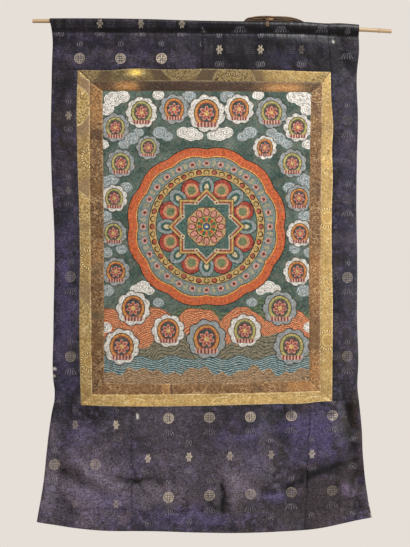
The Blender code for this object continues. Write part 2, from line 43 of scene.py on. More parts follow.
# Outlines and seams of the hanging, in millimetres from the middle of the rod: x to the right,
# z up. Lists of pairs are smooth curves, each pair z and x on an upright one, x and z on a level
# one. Corners are points x and z, and a bow is how far a seam leaves the straight line.
cloth = {
    "thickness": 1.2,
    "seamGap": 0.03,
    "silkGrain": 3.0, "brocadeGrain": 1.9, "canvasGrain": 2.7,      # spacing of the mesh
    "seamPoints": (160, 80),           # along a curved seam, and along a straight one
    "plane": 2.5,                      # how far behind the rod's middle the cloth hangs
    "leftEdge": [(10, -389), (-19, -384.5), (-113, -385), (-305, -387), (-377, -385), (-497, -379),
                 (-737, -381), (-857, -381), (-881, -378), (-905, -379), (-929, -384), (-1025, -396),
                 (-1097, -403.5), (-1195, -420)],
    "rightEdge": [(-3, 351), (-70, 353), (-113, 348.5), (-233, 350.5), (-329, 348), (-425, 347), (-593, 349),
                  (-713, 348.5), (-809, 351.5), (-881, 350), (-905, 353), (-977, 360), (-1025, 362),
                  (-1121, 372), (-1145, 375), (-1184, 383.5)],
    "hem": [(-420, -1195), (-364, -1206), (-268, -1217), (-152, -1218), (1, -1223), (155, -1220),
            (251, -1213), (328, -1197), (383.5, -1184)],
    "frameTop": [(-322, -110.5), (-248, -111.5), (-191, -107.5), (-104, -109.5), (-25, -108), (68, -109.5),
                 (184, -112), (241, -114.5), (285, -115)],
    "frameLow": [(-315, -915.5), (-248, -918), (-104, -918.5), (68, -915), (155, -912.5), (212, -912),
                 (270, -906.5), (288.5, -906)],
    "frameLeft": [(-110.5, -322), (-194, -325), (-295, -324), (-439, -319.5), (-525, -317.5), (-698, -318.5),
                  (-815, -317.5), (-915.5, -315)],
    "frameRight": [(-115, 285), (-180, 286.5), (-251, 291), (-295, 288.5), (-367, 290), (-439, 288),
                   (-568, 288), (-669, 290), (-784, 289.5), (-906, 288.5)],
    "innerCorners": [(-294, -137), (265, -141), (-288.5, -890.5), (260, -882.5)],
    "innerBow": [2.0, 2.5, 1.0, -1.0],
    "canvasCorners": [(-263, -161.5), (238, -164.5), (-259, -862.5), (234, -856)],
    "canvasBow": [1.0, 4.5, -1.0, -3.0],
    "topSeam": -25, "sideSeam": 278.5, "splice": -508, "shoulder": -903,
    "hemSeamLeft": -193.5, "hemSeamRight": (235, 221.5),
    # The rolled edge: its depth and width, the close mesh rows along it, and the stitches' puckers
    "rollDepth": 0.55, "rollWidth": 2.6, "rollEdge": 2.2, "puckerDepth": 0.16, "puckerStep": 11,
}

# The cane, with the ring of its swollen joint
rodSizes = {
    "length": 861, "radius": 4.8, "slope": -0.0287, "bow": 5.85,
    "ring": 402, "ringSwell": 1.16, "ringHalf": 3.2,
    # Mesh stations along it, extra ones by the joint within this reach, and points around
    "stations": 300, "ringStations": 40, "ringReach": 6, "around": 28,
}

# The sleeve: how high its top lies over the rod's middle, and its line of stitches, both by x
sleeveSizes = {
    "rise": [(-389, 6.6), (-306, 7.2), (-133, 7.4), (-76, 6.7), (-18, 6.7), (59, 7.8), (232, 12.2), (270, 11),
             (308, 13), (352, 12)],
    "stitches": [(-389, -20.5), (0, -23.5), (230, -26), (352, -32)],
    "ease": 0.4, "flap": 8, "layerGap": 0.5, "edgePull": 60,
    "rows": (7, 17, 10),               # up the back, over the rod and down the front
}

# Folds: a line from one point to another, its soft width and its rise towards the viewer
folds = [
    (121, -1120, 337, -1029, 17, -7.0), (140, -1091, 320, -1002, 26, 5.0),
    (205, -1170, 352, -1105, 48, -7.0), (110, -1094, 146, -1114, 15, 5.0),
    (-208, -1101, -131, -1099, 11, -5.0), (-228, -1080, -140, -1070, 17, 3.0),
    (-349, -1029, -306, -1082, 15, 5.0), (-306, -1082, -236, -1112, 15, 5.0),
    (-340, -1075, -268, -1130, 14, -5.0), (-330, -1000, -262, -1040, 18, 3.0),
    (22, -1104, 25, -1170, 11, -5.0), (44, -1098, 49, -1175, 15, 3.5), (-402, -1000, -416, -1190, 34, 9.0),
    (-352, -930, -372, -1180, 22, -4.0), (322, -1118, 350, -1131, 14, 5.0),
    (352, -1090, 346, -1146, 11, -5.0), (372, -1140, 381, -1184, 22, 6.0),
    (318, -914, 332, -967, 13, -4.5), (286, -962, 304, -1029, 17, 4.0), (-28, -960, -16, -1210, 40, -3.0),
    (95, -960, 107, -1072, 30, 4.0), (-150, -950, -160, -1210, 45, 3.0), (160, -940, 165, -1010, 30, -3.0),
    (121, -34, 284, -55, 16, 3.0), (304, -30, 320, -103, 14, -3.0), (-380, -45, -244, -60, 14, -2.0),
    (-100, -70, 60, -75, 30, 2.0), (-385, -312, 346, -318, 12, -1.6), (-380, -452, 346, -440, 12, -1.6),
    (-379, -566, 347, -575, 12, -1.4), (-380, -700, 347, -690, 12, -1.4), (-40, -380, 10, -640, 190, 2.5),
    (-350, -180, -350, -820, 22, 2.0), (318, -180, 320, -820, 22, 2.0),
]
# Small creases that only show in the finished cloth
creases = [
    (-300, -955, -262, -985, 5, 0.9), (-345, -1000, -318, -1010, 5, -0.9),
    (-290, -1060, -240, -1075, 5, 1.0), (-255, -1120, -205, -1102, 4, -1.0),
    (-131, -1100, -100, -1080, 5, -0.9), (-176, -1105, -182, -1150, 5, -0.8),
    (-20, -1040, 20, -1052, 6, 0.8), (60, -1010, 75, -1060, 6, -0.8), (140, -1000, 180, -1020, 6, 0.8),
    (228, -1090, 224, -1140, 4, -1.0), (255, -1150, 300, -1120, 5, 0.9), (300, -1160, 350, -1165, 6, -0.8),
    (150, -1140, 200, -1165, 6, 0.7), (-330, -1150, -280, -1165, 6, 0.9),
    (-400, -1120, -350, -1135, 6, -0.9), (300, -950, 345, -935, 5, 0.9), (262, -930, 300, -945, 5, -0.7),
    (-370, -945, -320, -935, 5, 0.8), (-240, -40, -200, -70, 6, -0.6), (-150, -45, -130, -90, 6, 0.6),
    (10, -50, 40, -95, 6, -0.6), (90, -50, 160, -60, 6, 0.7), (200, -60, 250, -100, 6, -0.7),
    (300, -60, 345, -75, 5, 0.9), (-350, -60, -330, -100, 6, 0.6), (-60, -60, -45, -95, 5, -0.5),
]


def curveThrough(pairs):
    # A cubic through the pairs, its slopes taken from the neighbours
    keys, values = np.array(sorted(pairs), dtype=float).T * mm
    slopes = np.gradient(values, keys)

    def read(at):
        at = np.clip(np.asarray(at, dtype=float), keys[0], keys[-1])
        low = np.clip(np.searchsorted(keys, at) - 1, 0, len(keys) - 2)
        span = keys[low + 1] - keys[low]
        t = (at - keys[low]) / span
        near = (1 + 2 * t) * (1 - t) ** 2 * values[low] + t * (1 - t) ** 2 * span * slopes[low]
        far = t * t * (3 - 2 * t) * values[low + 1] + t * t * (t - 1) * span * slopes[low + 1]
        return near + far

    return read


outlines = ("leftEdge", "rightEdge", "hem", "frameTop", "frameLow", "frameLeft", "frameRight")
leftEdge, rightEdge, hemLine, frameTop, frameLow, frameLeft, frameRight = (
    curveThrough(cloth[name]) for name in outlines)
sleeveRise, stitchLine = (curveThrough(sleeveSizes[name]) for name in ("rise", "stitches"))


def rodHeight(x):
    # The cane slopes down to the right and is bowed upwards
    return rodSizes["slope"] * x - rodSizes["bow"] * mm * (2 * x / (rodSizes["length"] * mm)) ** 2


def ramp(value, start, end):
    # 0 up to the start, 1 from the end on, and straight between them
    return np.clip((value - start) / (end - start), 0, 1)


def softNoise(x, z, size, seed):
    # Random values on a square lattice of this size, eased from point to point, from -1 to 1
    table = np.random.default_rng(seed).uniform(-1, 1, (97, 97))
    gridX, gridZ = x / size + 40.3, z / size + 60.7
    cellX, cellZ = np.floor(gridX).astype(int), np.floor(gridZ).astype(int)
    tx, tz = gridX - cellX, gridZ - cellZ
    tx, tz = tx * tx * (3 - 2 * tx), tz * tz * (3 - 2 * tz)
    near = table[cellX % 97, cellZ % 97] * (1 - tx) + table[(cellX + 1) % 97, cellZ % 97] * tx
    far = table[cellX % 97, (cellZ + 1) % 97] * (1 - tx) + table[(cellX + 1) % 97, (cellZ + 1) % 97] * tx
    return near * (1 - tz) + far * tz


def foldSum(x, z, lines):
    # The sum of soft ridges: each a bell curve of the distance to its line
    total = np.zeros_like(x)
    for x1, z1, x2, z2, width, rise in np.array(lines, dtype=float) * mm:
        alongX, alongZ = x2 - x1, z2 - z1
        t = np.clip(((x - x1) * alongX + (z - z1) * alongZ) / (alongX ** 2 + alongZ ** 2), 0, 1)
        squared = (x - x1 - t * alongX) ** 2 + (z - z1 - t * alongZ) ** 2
        total += rise * np.exp(-squared / width ** 2)
    return total


def clothDepth(x, z):
    # Where the cloth's middle lies behind the rod: its folds, small creases and unevenness
    forward = foldSum(x, z, folds) + foldSum(x, z, creases)
    lower = ramp(-z / mm, 880, 940)
    uneven = 0.35 * softNoise(x, z, 0.055, 3) + 0.2 * softNoise(x, z, 0.023, 4)
    pulls = softNoise(x + 0.4 * z, z * 0.3, 0.016, 5)
    forward += mm * (uneven * (0.5 + 0.8 * lower) + 0.16 * pulls * (0.4 + lower))
    return cloth["plane"] * mm - forward


def along(curve, start, end):
    # Points of a seam that runs from left to right
    x = np.linspace(start, end, cloth["seamPoints"][0])
    return np.column_stack([x, curve(x)])


def down(curve, start, end):
    # Points of a seam that runs from top to bottom
    z = np.linspace(start, end, cloth["seamPoints"][0])
    return np.column_stack([curve(z), z])


def straight(start, end, bow=0.0):
    # A straight seam, or a parabola that leaves it by bow at its middle
    t = np.linspace(0, 1, cloth["seamPoints"][1])[:, None]
    start, end = np.array(start, dtype=float), np.array(end, dtype=float)
    side = np.array([end[1] - start[1], start[0] - end[0]])
    return start + (end - start) * t + side / np.hypot(*side) * (4 * bow * t * (1 - t))


def join(*lines):
    # Lines run into one, each from the point where the last one ends
    return np.vstack([lines[0]] + [line[1:] for line in lines[1:]])


def steps(count, length, edge):
    # Positions from 0 to 1 with extra ones close to both ends, for a rolled edge
    inner = np.linspace(edge * 2.2, length - edge * 2.2, count - 3)
    close = np.array([0, 0.35, 1]) * edge
    return np.concatenate([close, inner, length - close[::-1]]) / length


def readLine(line, at):
    # Points at shares of a line's length
    length = np.concatenate([[0], np.cumsum(np.hypot(*np.diff(line, axis=0).T))])
    return np.column_stack([np.interp(at * length[-1], length, line[:, i]) for i in (0, 1)])


def lineLength(line):
    # The sum of a line's steps
    return float(np.hypot(*np.diff(line, axis=0).T).sum())


def drawIn(top, low, left, right):
    # The four sides moved inwards by half a seam gap
    sizes = [len(left) - 1, len(low) - 1, len(right) - 1, len(top) - 1]
    loop = np.vstack([left[:-1], low[:-1], right[::-1][:-1], top[::-1][:-1]])
    before, after = loop - np.roll(loop, 1, axis=0), np.roll(loop, -1, axis=0) - loop
    before, after = (way / np.hypot(*way.T)[:, None] for way in (before, after))
    turnBefore, turnAfter = (np.column_stack([-way[:, 1], way[:, 0]]) for way in (before, after))
    share = 1 + (turnBefore * turnAfter).sum(axis=1)
    loop = loop + cloth["seamGap"] * mm / 2 * (turnBefore + turnAfter) / share[:, None]
    loop = np.vstack([loop, loop[0]])
    ends = np.cumsum([0] + sizes)
    left, low, right, top = (loop[ends[i]:ends[i + 1] + 1] for i in range(4))
    return top[::-1], low, left, right[::-1]


def patch(sides, grain):
    # A grid between four seams, filled as a Coons patch: ruled both ways, less the corners
    top, low, left, right = sides
    wide, tall = max(lineLength(top), lineLength(low)), max(lineLength(left), lineLength(right))
    u = steps(max(6, round(wide / grain)), wide, cloth["rollEdge"] * mm)
    v = steps(max(6, round(tall / grain)), tall, cloth["rollEdge"] * mm)
    top, low = readLine(top, u), readLine(low, u)
    left, right = readLine(left, v), readLine(right, v)
    top, low, left, right = drawIn(top, low, left, right)
    u, v = u[None, :, None], v[:, None, None]
    ruled = (1 - v) * top[None] + v * low[None] + (1 - u) * left[:, None] + u * right[:, None]
    corners = (1 - u) * ((1 - v) * top[0] + v * low[0]) + u * ((1 - v) * top[-1] + v * low[-1])
    return ruled - corners


def sideGap(flat):
    # Distance to the four sides, measured along the grid's own rows and columns
    rowStep = np.hypot(*np.moveaxis(np.diff(flat, axis=1), -1, 0))
    columnStep = np.hypot(*np.moveaxis(np.diff(flat, axis=0), -1, 0))
    fromLeft = np.concatenate([np.zeros((len(flat), 1)), np.cumsum(rowStep, axis=1)], axis=1)
    fromTop = np.concatenate([np.zeros((1, flat.shape[1])), np.cumsum(columnStep, axis=0)], axis=0)
    return fromTop, fromTop[-1:] - fromTop, fromLeft, fromLeft[:, -1:] - fromLeft


def rolledEdge(flat):
    # Cloth turned under at a seam: the surface dips close to its sides, with small puckers from
    # the stitches
    gaps = sideGap(flat)
    dip = np.zeros(flat.shape[:2])
    for gap, run in zip(gaps, (gaps[2], gaps[2], gaps[0], gaps[0])):
        wave = np.sin(run / mm * 2 * math.pi / cloth["puckerStep"] + 3 * np.sin(run / mm / 37))
        dip += cloth["rollDepth"] * np.exp(-(gap / mm / cloth["rollWidth"]) ** 2)
        dip += cloth["puckerDepth"] * wave * np.exp(-gap / mm / 7)
    return dip * mm


def onCloth(flat):
    # Front-view points laid on the folds, with their edges rolled back
    x, z = flat[..., 0], flat[..., 1]
    return np.stack([x, clothDepth(x, z) + rolledEdge(flat), z], axis=-1)


def sleeveRows(row):
    # The sleeve above a panel's top row: from the flap behind the panel, up the back, over the
    # rod in half an ellipse, and down the front to the stitches. Returns the rows and, for each,
    # how far up the cloth it lies from the stitches
    x, stitchY, stitchZ = row.T
    rodZ = rodHeight(x)
    reach = (rodSizes["radius"] + sleeveSizes["ease"] + cloth["thickness"] / 2) * mm
    top = sleeveRise(x) - cloth["thickness"] / 2 * mm
    backY = stitchY + (cloth["thickness"] + sleeveSizes["layerGap"]) * mm
    upBack, overRod, downFront = sleeveSizes["rows"]
    section = [(backY, stitchZ - sleeveSizes["flap"] * mm * t) for t in (1.0, 0.75, 0.5, 0.25)]
    for t in np.linspace(0, 1, upBack)[:-1]:
        section.append((backY + (reach - backY) * t * t * (3 - 2 * t), stitchZ + (rodZ - stitchZ) * t))
    for angle in np.radians(np.linspace(90, -90, overRod)):
        section.append((reach * math.sin(angle) + 0 * x, rodZ + top * math.cos(angle)))
    for t in np.linspace(0, 1, downFront)[1:-1]:
        ease = t * t * (3 - 2 * t)
        section.append((-reach + (stitchY + reach) * ease, rodZ + (stitchZ - rodZ) * t))
    pull = np.clip(1 - (x - leftEdge(stitchZ)) / (sleeveSizes["edgePull"] * mm), 0, 1)
    rows = np.stack([np.column_stack([x + pull * (leftEdge(z) - leftEdge(stitchZ)), y, z])
                     for y, z in section])
    # Slack cloth: small gathers that run up the sleeve, kept clear of the rod
    slack = np.clip(softNoise(x, 0 * x, 0.021, 11) * 0.5 + softNoise(x, 0 * x, 0.009, 12) * 0.3, -0.15, 1)
    front = np.clip(-rows[..., 1] / reach, 0, 1)
    rows[..., 1] -= 0.8 * mm * slack * front
    gaps = np.linalg.norm(np.diff(np.concatenate([rows, row[None]]), axis=0), axis=-1)
    return rows, np.cumsum(gaps[::-1], axis=0)[::-1]


# Pieces and meshes

def hexColour(text):
    # sRGB hex to linear
    parts = [int(text[i:i + 2], 16) / 255 for i in (0, 2, 4)]
    return [part / 12.92 if part <= 0.04045 else ((part + 0.055) / 1.055) ** 2.4 for part in parts]


def gridMesh(name, points, uv=None, values=None, closed=False):
    # A mesh from a grid of points, rows by columns; closed joins the last column to the first
    rows, columns = points.shape[:2]
    index = np.arange(rows * columns).reshape(rows, columns)
    if closed:
        index = np.concatenate([index, index[:, :1]], axis=1)
    faces = np.stack([index[:-1, :-1], index[1:, :-1], index[1:, 1:], index[:-1, 1:]], axis=-1).reshape(-1, 4)
    mesh = bpy.data.meshes.new(name)
    mesh.vertices.add(rows * columns)
    mesh.vertices.foreach_set("co", points.reshape(-1))
    mesh.loops.add(faces.size)
    mesh.loops.foreach_set("vertex_index", faces.reshape(-1))
    mesh.polygons.add(len(faces))
    mesh.polygons.foreach_set("loop_start", np.arange(0, faces.size, 4))
    mesh.update(calc_edges=True)
    mesh.validate()
    if uv is not None:
        layer = mesh.uv_layers.new(name="weave")
        corners = uv.reshape(-1, 2)[faces.reshape(-1)]
        layer.data.foreach_set("uv", corners.reshape(-1).astype(np.float32))
    for key, value in (values or {}).items():
        if value.ndim == 3:
            layer = mesh.attributes.new(key, "FLOAT_COLOR", "POINT")
            flat = np.concatenate([value, np.ones(value.shape[:2] + (1,))], axis=-1)
            layer.data.foreach_set("color", flat.reshape(-1).astype(np.float32))
        else:
            layer = mesh.attributes.new(key, "FLOAT", "POINT")
            layer.data.foreach_set("value", value.reshape(-1).astype(np.float32))
    mesh.shade_smooth()
    return mesh


def addPiece(name, mesh, materials, node):
    # A mesh made a piece of the one body, in place of its CAD node
    thing = bpy.data.objects.new(name, mesh)
    bpy.context.scene.collection.objects.link(thing)
    for material in materials:
        mesh.materials.append(material)
    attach(thing, "root")
    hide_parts(node)
    return thing


def clothPiece(node, points, materials, uv=None, values=None,
               thickness=cloth["thickness"]):
    # A sheet of cloth with its thickness; the back shows the second material
    name = "cloth_" + node
    thing = addPiece(name, gridMesh(name, points, uv, values), materials, node)
    thicken = thing.modifiers.new("clothThickness", "SOLIDIFY")
    thicken.thickness = thickness * mm
    thicken.offset = 0
    thicken.material_offset = len(materials) - 1


# Materials. A kind in capitals is an operation of the Math node, and capitals after another kind
# are that kind's operation. Inputs come by place or by name, each a value or a socket to link,
# and a name that is no input is a setting.

def addNode(tree, kind, *inputs, output=0, **named):
    kind, _, operation = ("Math " + kind if kind.isupper() else kind).partition(" ")
    made = tree.nodes.new("ShaderNode" + kind)
    if operation:
        made.operation = operation
    for key, value in [*named.items(), *enumerate(inputs)]:
        if isinstance(key, str) and key not in made.inputs:
            setattr(made, key, value)
        elif isinstance(value, bpy.types.NodeSocket):
            tree.links.new(value, made.inputs[key])
        elif value is not None:
            made.inputs[key].default_value = value
    return made.outputs[output]


def chain(add, value, *steps):
    # A value put through one node after another
    for kind, *others in steps:
        value = add(kind, value, *others)
    return value


def laidOver(add, colour, *layers):
    # Tones laid over a colour one by one, each with its mask. Inputs 6 and 7 of Mix are its two
    # colours
    for mask, tone in layers:
        tone = (*hexColour(tone), 1)
        colour = add("Mix", mask, *[None] * 5, colour, tone, output=2, data_type="RGBA")
    return colour


def newMaterial(name, roughness, **sockets):
    # A material with these values on the shader's own sockets, and the function that adds nodes
    # to it
    material = bpy.data.materials.new(name)
    material.use_nodes = True
    shader = material.node_tree.nodes["Principled BSDF"]
    shader.inputs["Roughness"].default_value = roughness
    for key, value in sockets.items():
        shader.inputs[key.replace("_", " ")].default_value = value
    return material, partial(addNode, material.node_tree)


def shade(material, colour, roughness=None, bump=None, strength=0.3):
    # The common ends of a material: its colour, roughness and relief go to the shader
    tree = material.node_tree
    raised = bump and addNode(tree, "Bump", Height=bump, Strength=strength, Distance=0.4 * mm)
    for key, value in (("Base Color", colour), ("Roughness", roughness), ("Normal", raised)):
        if value:
            tree.links.new(value, tree.nodes["Principled BSDF"].inputs[key])
    return material


# Worn silk brocade: near-black satin with small pale motifs. Satin gives long soft glints; its violet patches
# are partly the ground where the dark face has rubbed and partly painted sheen, and the motifs have lost
# threads.
silkSizes = {
    "repeat": (98.4, 190), "colouring": "242128", "pale": "c0b29e", "mark": "9a929c", "bare": "d9d3c8",
    # Medallion: its radius, its ring's, and its fret of lines, each the axis that it is measured
    # on, its place there and its half length; then half a line's width
    "medallion": 12.8, "ring": 10.2, "fret": [(0, 2.8, 9.5), (1, 0, 9.5), (1, 4.8, 8)], "lineHalf": 0.9,
    # Star: how much narrower than tall, how far its points reach past its waist, its waist and eye
    "narrower": 1.55, "point": 6.4, "waist": 5.8, "eye": 1.7,
    # Marks: how far above and below the motifs they lie, and how strongly they show. Then the
    # fan's strokes and half height, the brackets' spacing, bend and reaches, and the strokes'
    # spacing, place aside and half height
    "markAt": 35, "markShown": 0.36, "fan": 4.2, "fanFrom": 14, "fanSlope": 0.68, "fanHalf": 7.5,
    "bracketStep": 4.6, "bend": 0.09, "eyeReach": 7.4, "bracketReach": 12, "eyeHalf": 7.07,
    "strokeStep": 4.2, "strokesAt": (26, 11), "strokesHalf": 9,
    # Height in which the rows' slope grows by as much again, and how far on the sleeve's rows are set
    "slopeGrows": 150, "sleeveShift": 11,
    # The ground's own unevenness: tone, size of its clouds, where they begin, how strong
    "clouds": [("3a3349", 46, -0.1, 0.5), ("4a4048", 34, 0.0, 0.5), ("2a2b35", 60, 0.0, 0.45),
               ("3a3230", 26, 0.2, 0.4), ("151417", 18, 0.15, 0.6), ("544a64", 13, 0.15, 0.45),
               ("19181d", 8, 0.25, 0.45)],
}
# Patches of other tones, some of them painted light: x, z, half width, half height, amount
silkToneAndLightPatches = {
    # Violet: partly the ground where the dark face has rubbed, partly painted sheen where the satin catches
    # the light
    "4d4566": [(205, -975, 66, 26, 0.7), (262, -1000, 56, 40, 0.6), (284, -1010, 16, 40, 0.7),
               (140, -1128, 24, 13, 1.0), (60, -985, 40, 20, 0.5), (262, -945, 40, 24, 0.45),
               (-330, -985, 40, 30, 0.5), (-310, -1150, 50, 24, 0.3), (165, -78, 30, 24, 0.5),
               (-385, -240, 9, 110, 0.25), (-350, -690, 26, 200, 0.5), (330, -500, 20, 330, 0.12),
               (-300, -1100, 70, 70, 0.2), (-350, -560, 20, 60, 0.3), (60, -1000, 60, 30, 0.35),
               (-60, -1185, 90, 18, 0.35), (-250, -1150, 50, 24, 0.3), (100, -1060, 30, 30, 0.3),
               (-150, -55, 60, 12, 0.25), (-10, -1185, 60, 18, 0.3)],
    "665c66": [(-310, -1090, 110, 110, 0.4), (-90, -960, 130, 60, 0.35), (0, -1060, 160, 60, 0.3),
               (-120, -1130, 90, 30, 0.35), (-350, -190, 26, 90, 0.15), (60, -1120, 50, 40, 0.3)],
    # Grey-brown: partly painted shade at the lower right, where the cloth turns away from the lamp
    "372f32": [(290, -1135, 90, 56, 0.9), (205, -1180, 90, 34, 0.85), (330, -1060, 34, 50, 0.8),
               (-90, -1130, 60, 20, 0.4), (20, -1150, 60, 40, 0.4)],
    # Violet on the ridges at the lower right: painted sheen
    "5d5066": [(330, -1125, 22, 16, 0.8), (344, -1035, 14, 14, 0.6)],
    "2e221f": [(338, -925, 20, 46, 0.85), (352, -1010, 12, 80, 0.7), (-345, -1070, 34, 22, 0.5),
               (-320, -1150, 50, 20, 0.35), (-352, -260, 24, 110, 0.4), (320, -760, 12, 90, 0.4)],
    "121014": [(-225, -45, 170, 22, 0.4), (-352, -160, 30, 90, 0.3), (70, -70, 110, 46, 0.7),
               (-360, -150, 26, 60, 0.5), (-10, -960, 90, 18, 0.3), (22, -1140, 9, 26, 0.8),
               (-190, -1102, 30, 12, 0.3), (230, -1072, 110, 9, 0.6), (320, -80, 30, 40, 0.5),
               (-365, -500, 20, 60, 0.4)],
}
# Motifs that have worn away: x, z, radius, amount
wornMotifs = [
    (186, -933, 12, 0.5), (277, -931, 20, 0.7), (188, -1130, 20, 0.7), (287, -1122, 20, 0.6),
    (88, -1135, 20, 0.35), (-8, -1139, 20, 0.3), (-282, -1063, 20, 0.4), (-327, -1151, 20, 0.6),
    (-227, -1154, 20, 0.5), (-325, -962, 20, 0.45), (42, -1043, 20, 0.3), (141, -1041, 20, 0.45),
    (-24, -83, 26, 1.0), (326, -40, 40, 1.0), (326, -230, 40, 0.9), (326, -420, 40, 0.9),
    (326, -610, 30, 0.5), (326, -800, 30, 0.6), (335, -1030, 30, 1.0), (-344, -400, 24, 0.6),
    (-203, -947, 22, 1.0), (-203, -1137, 22, 1.0), (-378, -1058, 22, 0.5), (215, -62, 24, 0.85),
    (18, -62, 24, 0.3), (116, -62, 24, 0.4), (-345, -221, 24, 0.55), (-345, -402, 24, 0.6),
    (-340, -607, 30, 0.6), (-340, -799, 30, 0.6), (-418, -87, 30, 1.0), (-320, -83, 20, 0.3),
    (-394, -130, 30, 1.0), (-394, -310, 30, 1.0), (-390, -960, 26, 1.0), (-372, 0, 26, 0.9),
    (-328, -1150, 24, 0.5),
]
# Bare white threads: x, z, half width, half height, amount
bareThreads = [
    (-179, -942, 2.2, 6, 1.0), (-378, -828, 4, 3, 0.8), (291, -43, 2.2, 3, 0.7), (382, -1178, 2, 6, 0.5),
    (-379, -845, 3, 3, 0.6),
]
# Painted shade along the deep creases, and darker lines along the seams: a line, its width and its amount
creaseShadeAndSeamLines = [
    (349, -1045, 284, -1064, 6, 0.45), (300, -1058, 236, -1082, 10, 0.75),
    (245, -1080, 188, -1112, 9, 0.75), (190, -1112, 120, -1128, 7, 0.5), (24, -1110, 25, -1166, 6, 0.75),
    (-184, -1103, -174, -1099, 7, 0.4), (-179, -1101, -196, -1064, 3.5, 0.5),
    (-179, -1101, -226, -1086, 3.5, 0.5), (-179, -1101, -132, -1084, 3.5, 0.45),
    (-179, -1101, -150, -1132, 3.5, 0.4), (-193, -915, -193, -1215, 2, 0.2),
    (235, -910, 222, -1213, 2, 0.4), (-25, -25, -25, -108, 2, 0.4), (278.5, -30, 284, -112, 2, 0.4),
    (-388, -1024, -352, -1074, 13, 0.45), (-352, -1074, -306, -1108, 10, 0.4),
    (-362, -1142, -328, -1182, 12, 0.45), (330, -920, 334, -1010, 9, 0.75),
    (340, -1010, 345, -1090, 6, 0.5), (303, -1100, 289, -1150, 4, 0.4), (341, -1095, 334, -1126, 5, 0.7),
    (262, -1162, 330, -1140, 5, 0.35), (-330, -1166, -60, -1170, 2.6, 0.4),
    (-60, -1170, 300, -1160, 2.2, 0.25), (100, -55, 300, -47, 5, 0.4), (-190, -62, -100, -52, 8, 0.4),
    (300, -38, 330, -92, 9, 0.5),
]


def tonedOver(colour, tone, amount):
    # A tone laid over a grid of colours by this amount at each point
    return colour * (1 - amount[..., None]) + amount[..., None] * np.array(hexColour(tone))


def colourAndPaintedLight(x, z, rise=None):
    # The cloth's colour at each point, with painted light and shade: clouds of other tones over the dye,
    # then patches with ragged edges, some of them painted sheen and shade, all lighter towards the hem
    colour = np.ones(x.shape + (1,)) * np.array(hexColour(silkSizes["colouring"]))
    lower = ramp(-z / mm, 200, 1000)
    for i, (tone, size, begins, strength) in enumerate(silkSizes["clouds"]):
        cloud = softNoise(x, z * 1.3, size * mm, 61 + i) + 0.6 * softNoise(x, z, size * 0.4 * mm, 71 + i)
        colour = tonedOver(colour, tone, np.clip(strength * (cloud - begins) * (0.9 + 0.5 * lower), 0, 0.85))
    bentX = x / mm + 22 * softNoise(x, z, 0.03, 81) + 9 * softNoise(x, z, 0.011, 82)
    bentZ = z / mm + 16 * softNoise(x, z, 0.03, 83) + 7 * softNoise(x, z, 0.011, 84)
    for tone, patches in silkToneAndLightPatches.items():
        amount = np.zeros_like(x)
        for px, pz, wide, tall, strength in patches:
            amount += strength * np.exp(-(((bentX - px) / wide) ** 2 + ((bentZ - pz) / tall) ** 2) ** 1.5)
        colour = tonedOver(colour, tone, np.clip(amount, 0, 0.9))
    # Painted shade in the folds' hollows and along the listed creases, darker lines along the seams, and
    # painted highlight on the ridges
    height = (foldSum(x, z, folds) + 2.5 * foldSum(x, z, creases)) / mm
    creaseAndSeamLines = foldSum(bentX * 0.25 * mm + x * 0.75, bentZ * 0.25 * mm + z * 0.75, creaseShadeAndSeamLines) / mm
    colour = colour * ((1 + np.clip(height * 0.06, -0.3, 0.12)) * (1 - np.clip(creaseAndSeamLines, 0, 0.85)))[..., None]
    # Lighter towards the hem and over the lower left panel, and darker over the top panel right of the middle
    lighterLow = ramp(-z / mm, 1010, 1120) + 0.4 * ramp(-z / mm, 920, 980) * ramp(-x / mm, 190, 210)
    darkerTopRight = ramp(x / mm, -70, 10) * ramp(z / mm, -125, -115)
    colour = colour * (1 + 0.6 * lighterLow - 0.48 * darkerTopRight)[..., None]
    if rise is not None:
        # Painted shade in a band above the sleeve's stitches, under the rod's bulge, and a fainter darker
        # band higher up; painted highlight just below the stitches; and the whole sleeve darker
        patchy = np.clip(0.75 + 0.5 * softNoise(x, 0 * x, 0.035, 96) + 0.2 * np.sign(x + 0.27), 0, 1)
        sleeveShade = 0.85 * patchy * np.exp(-((rise / mm - 7) / 8) ** 4)
        sleeveShade += 0.3 * np.exp(-((rise / mm - 26) / 7) ** 2)
        rubbed = 0.5 * np.clip(1.2 - x / 0.2, 0, 1) * np.exp(-((rise / mm + 3) / 2.2) ** 2)
        colour = colour * ((1 - 0.45 * (rise > 0)) * (1 - sleeveShade + rubbed))[..., None]
    return colour


def wornAway(x, z):
    # How much is left of the motifs, and where the threads are bare
    left = np.ones_like(x)
    for px, pz, radius, amount in wornMotifs:
        left = left * (1 - amount * np.exp(-(np.hypot(x / mm - px, z / mm - pz) / radius) ** 6))
    left = left * ramp(z / mm, -1198, -1186)
    bare = np.zeros_like(x)
    for px, pz, wide, tall, amount in bareThreads:
        far = np.hypot((x / mm - px) / wide, (z / mm - pz) / tall) + 0.3 * softNoise(x, z, 0.003, 91)
        bare = np.maximum(bare, amount * np.clip(1.6 - far, 0, 1))
    return left, bare


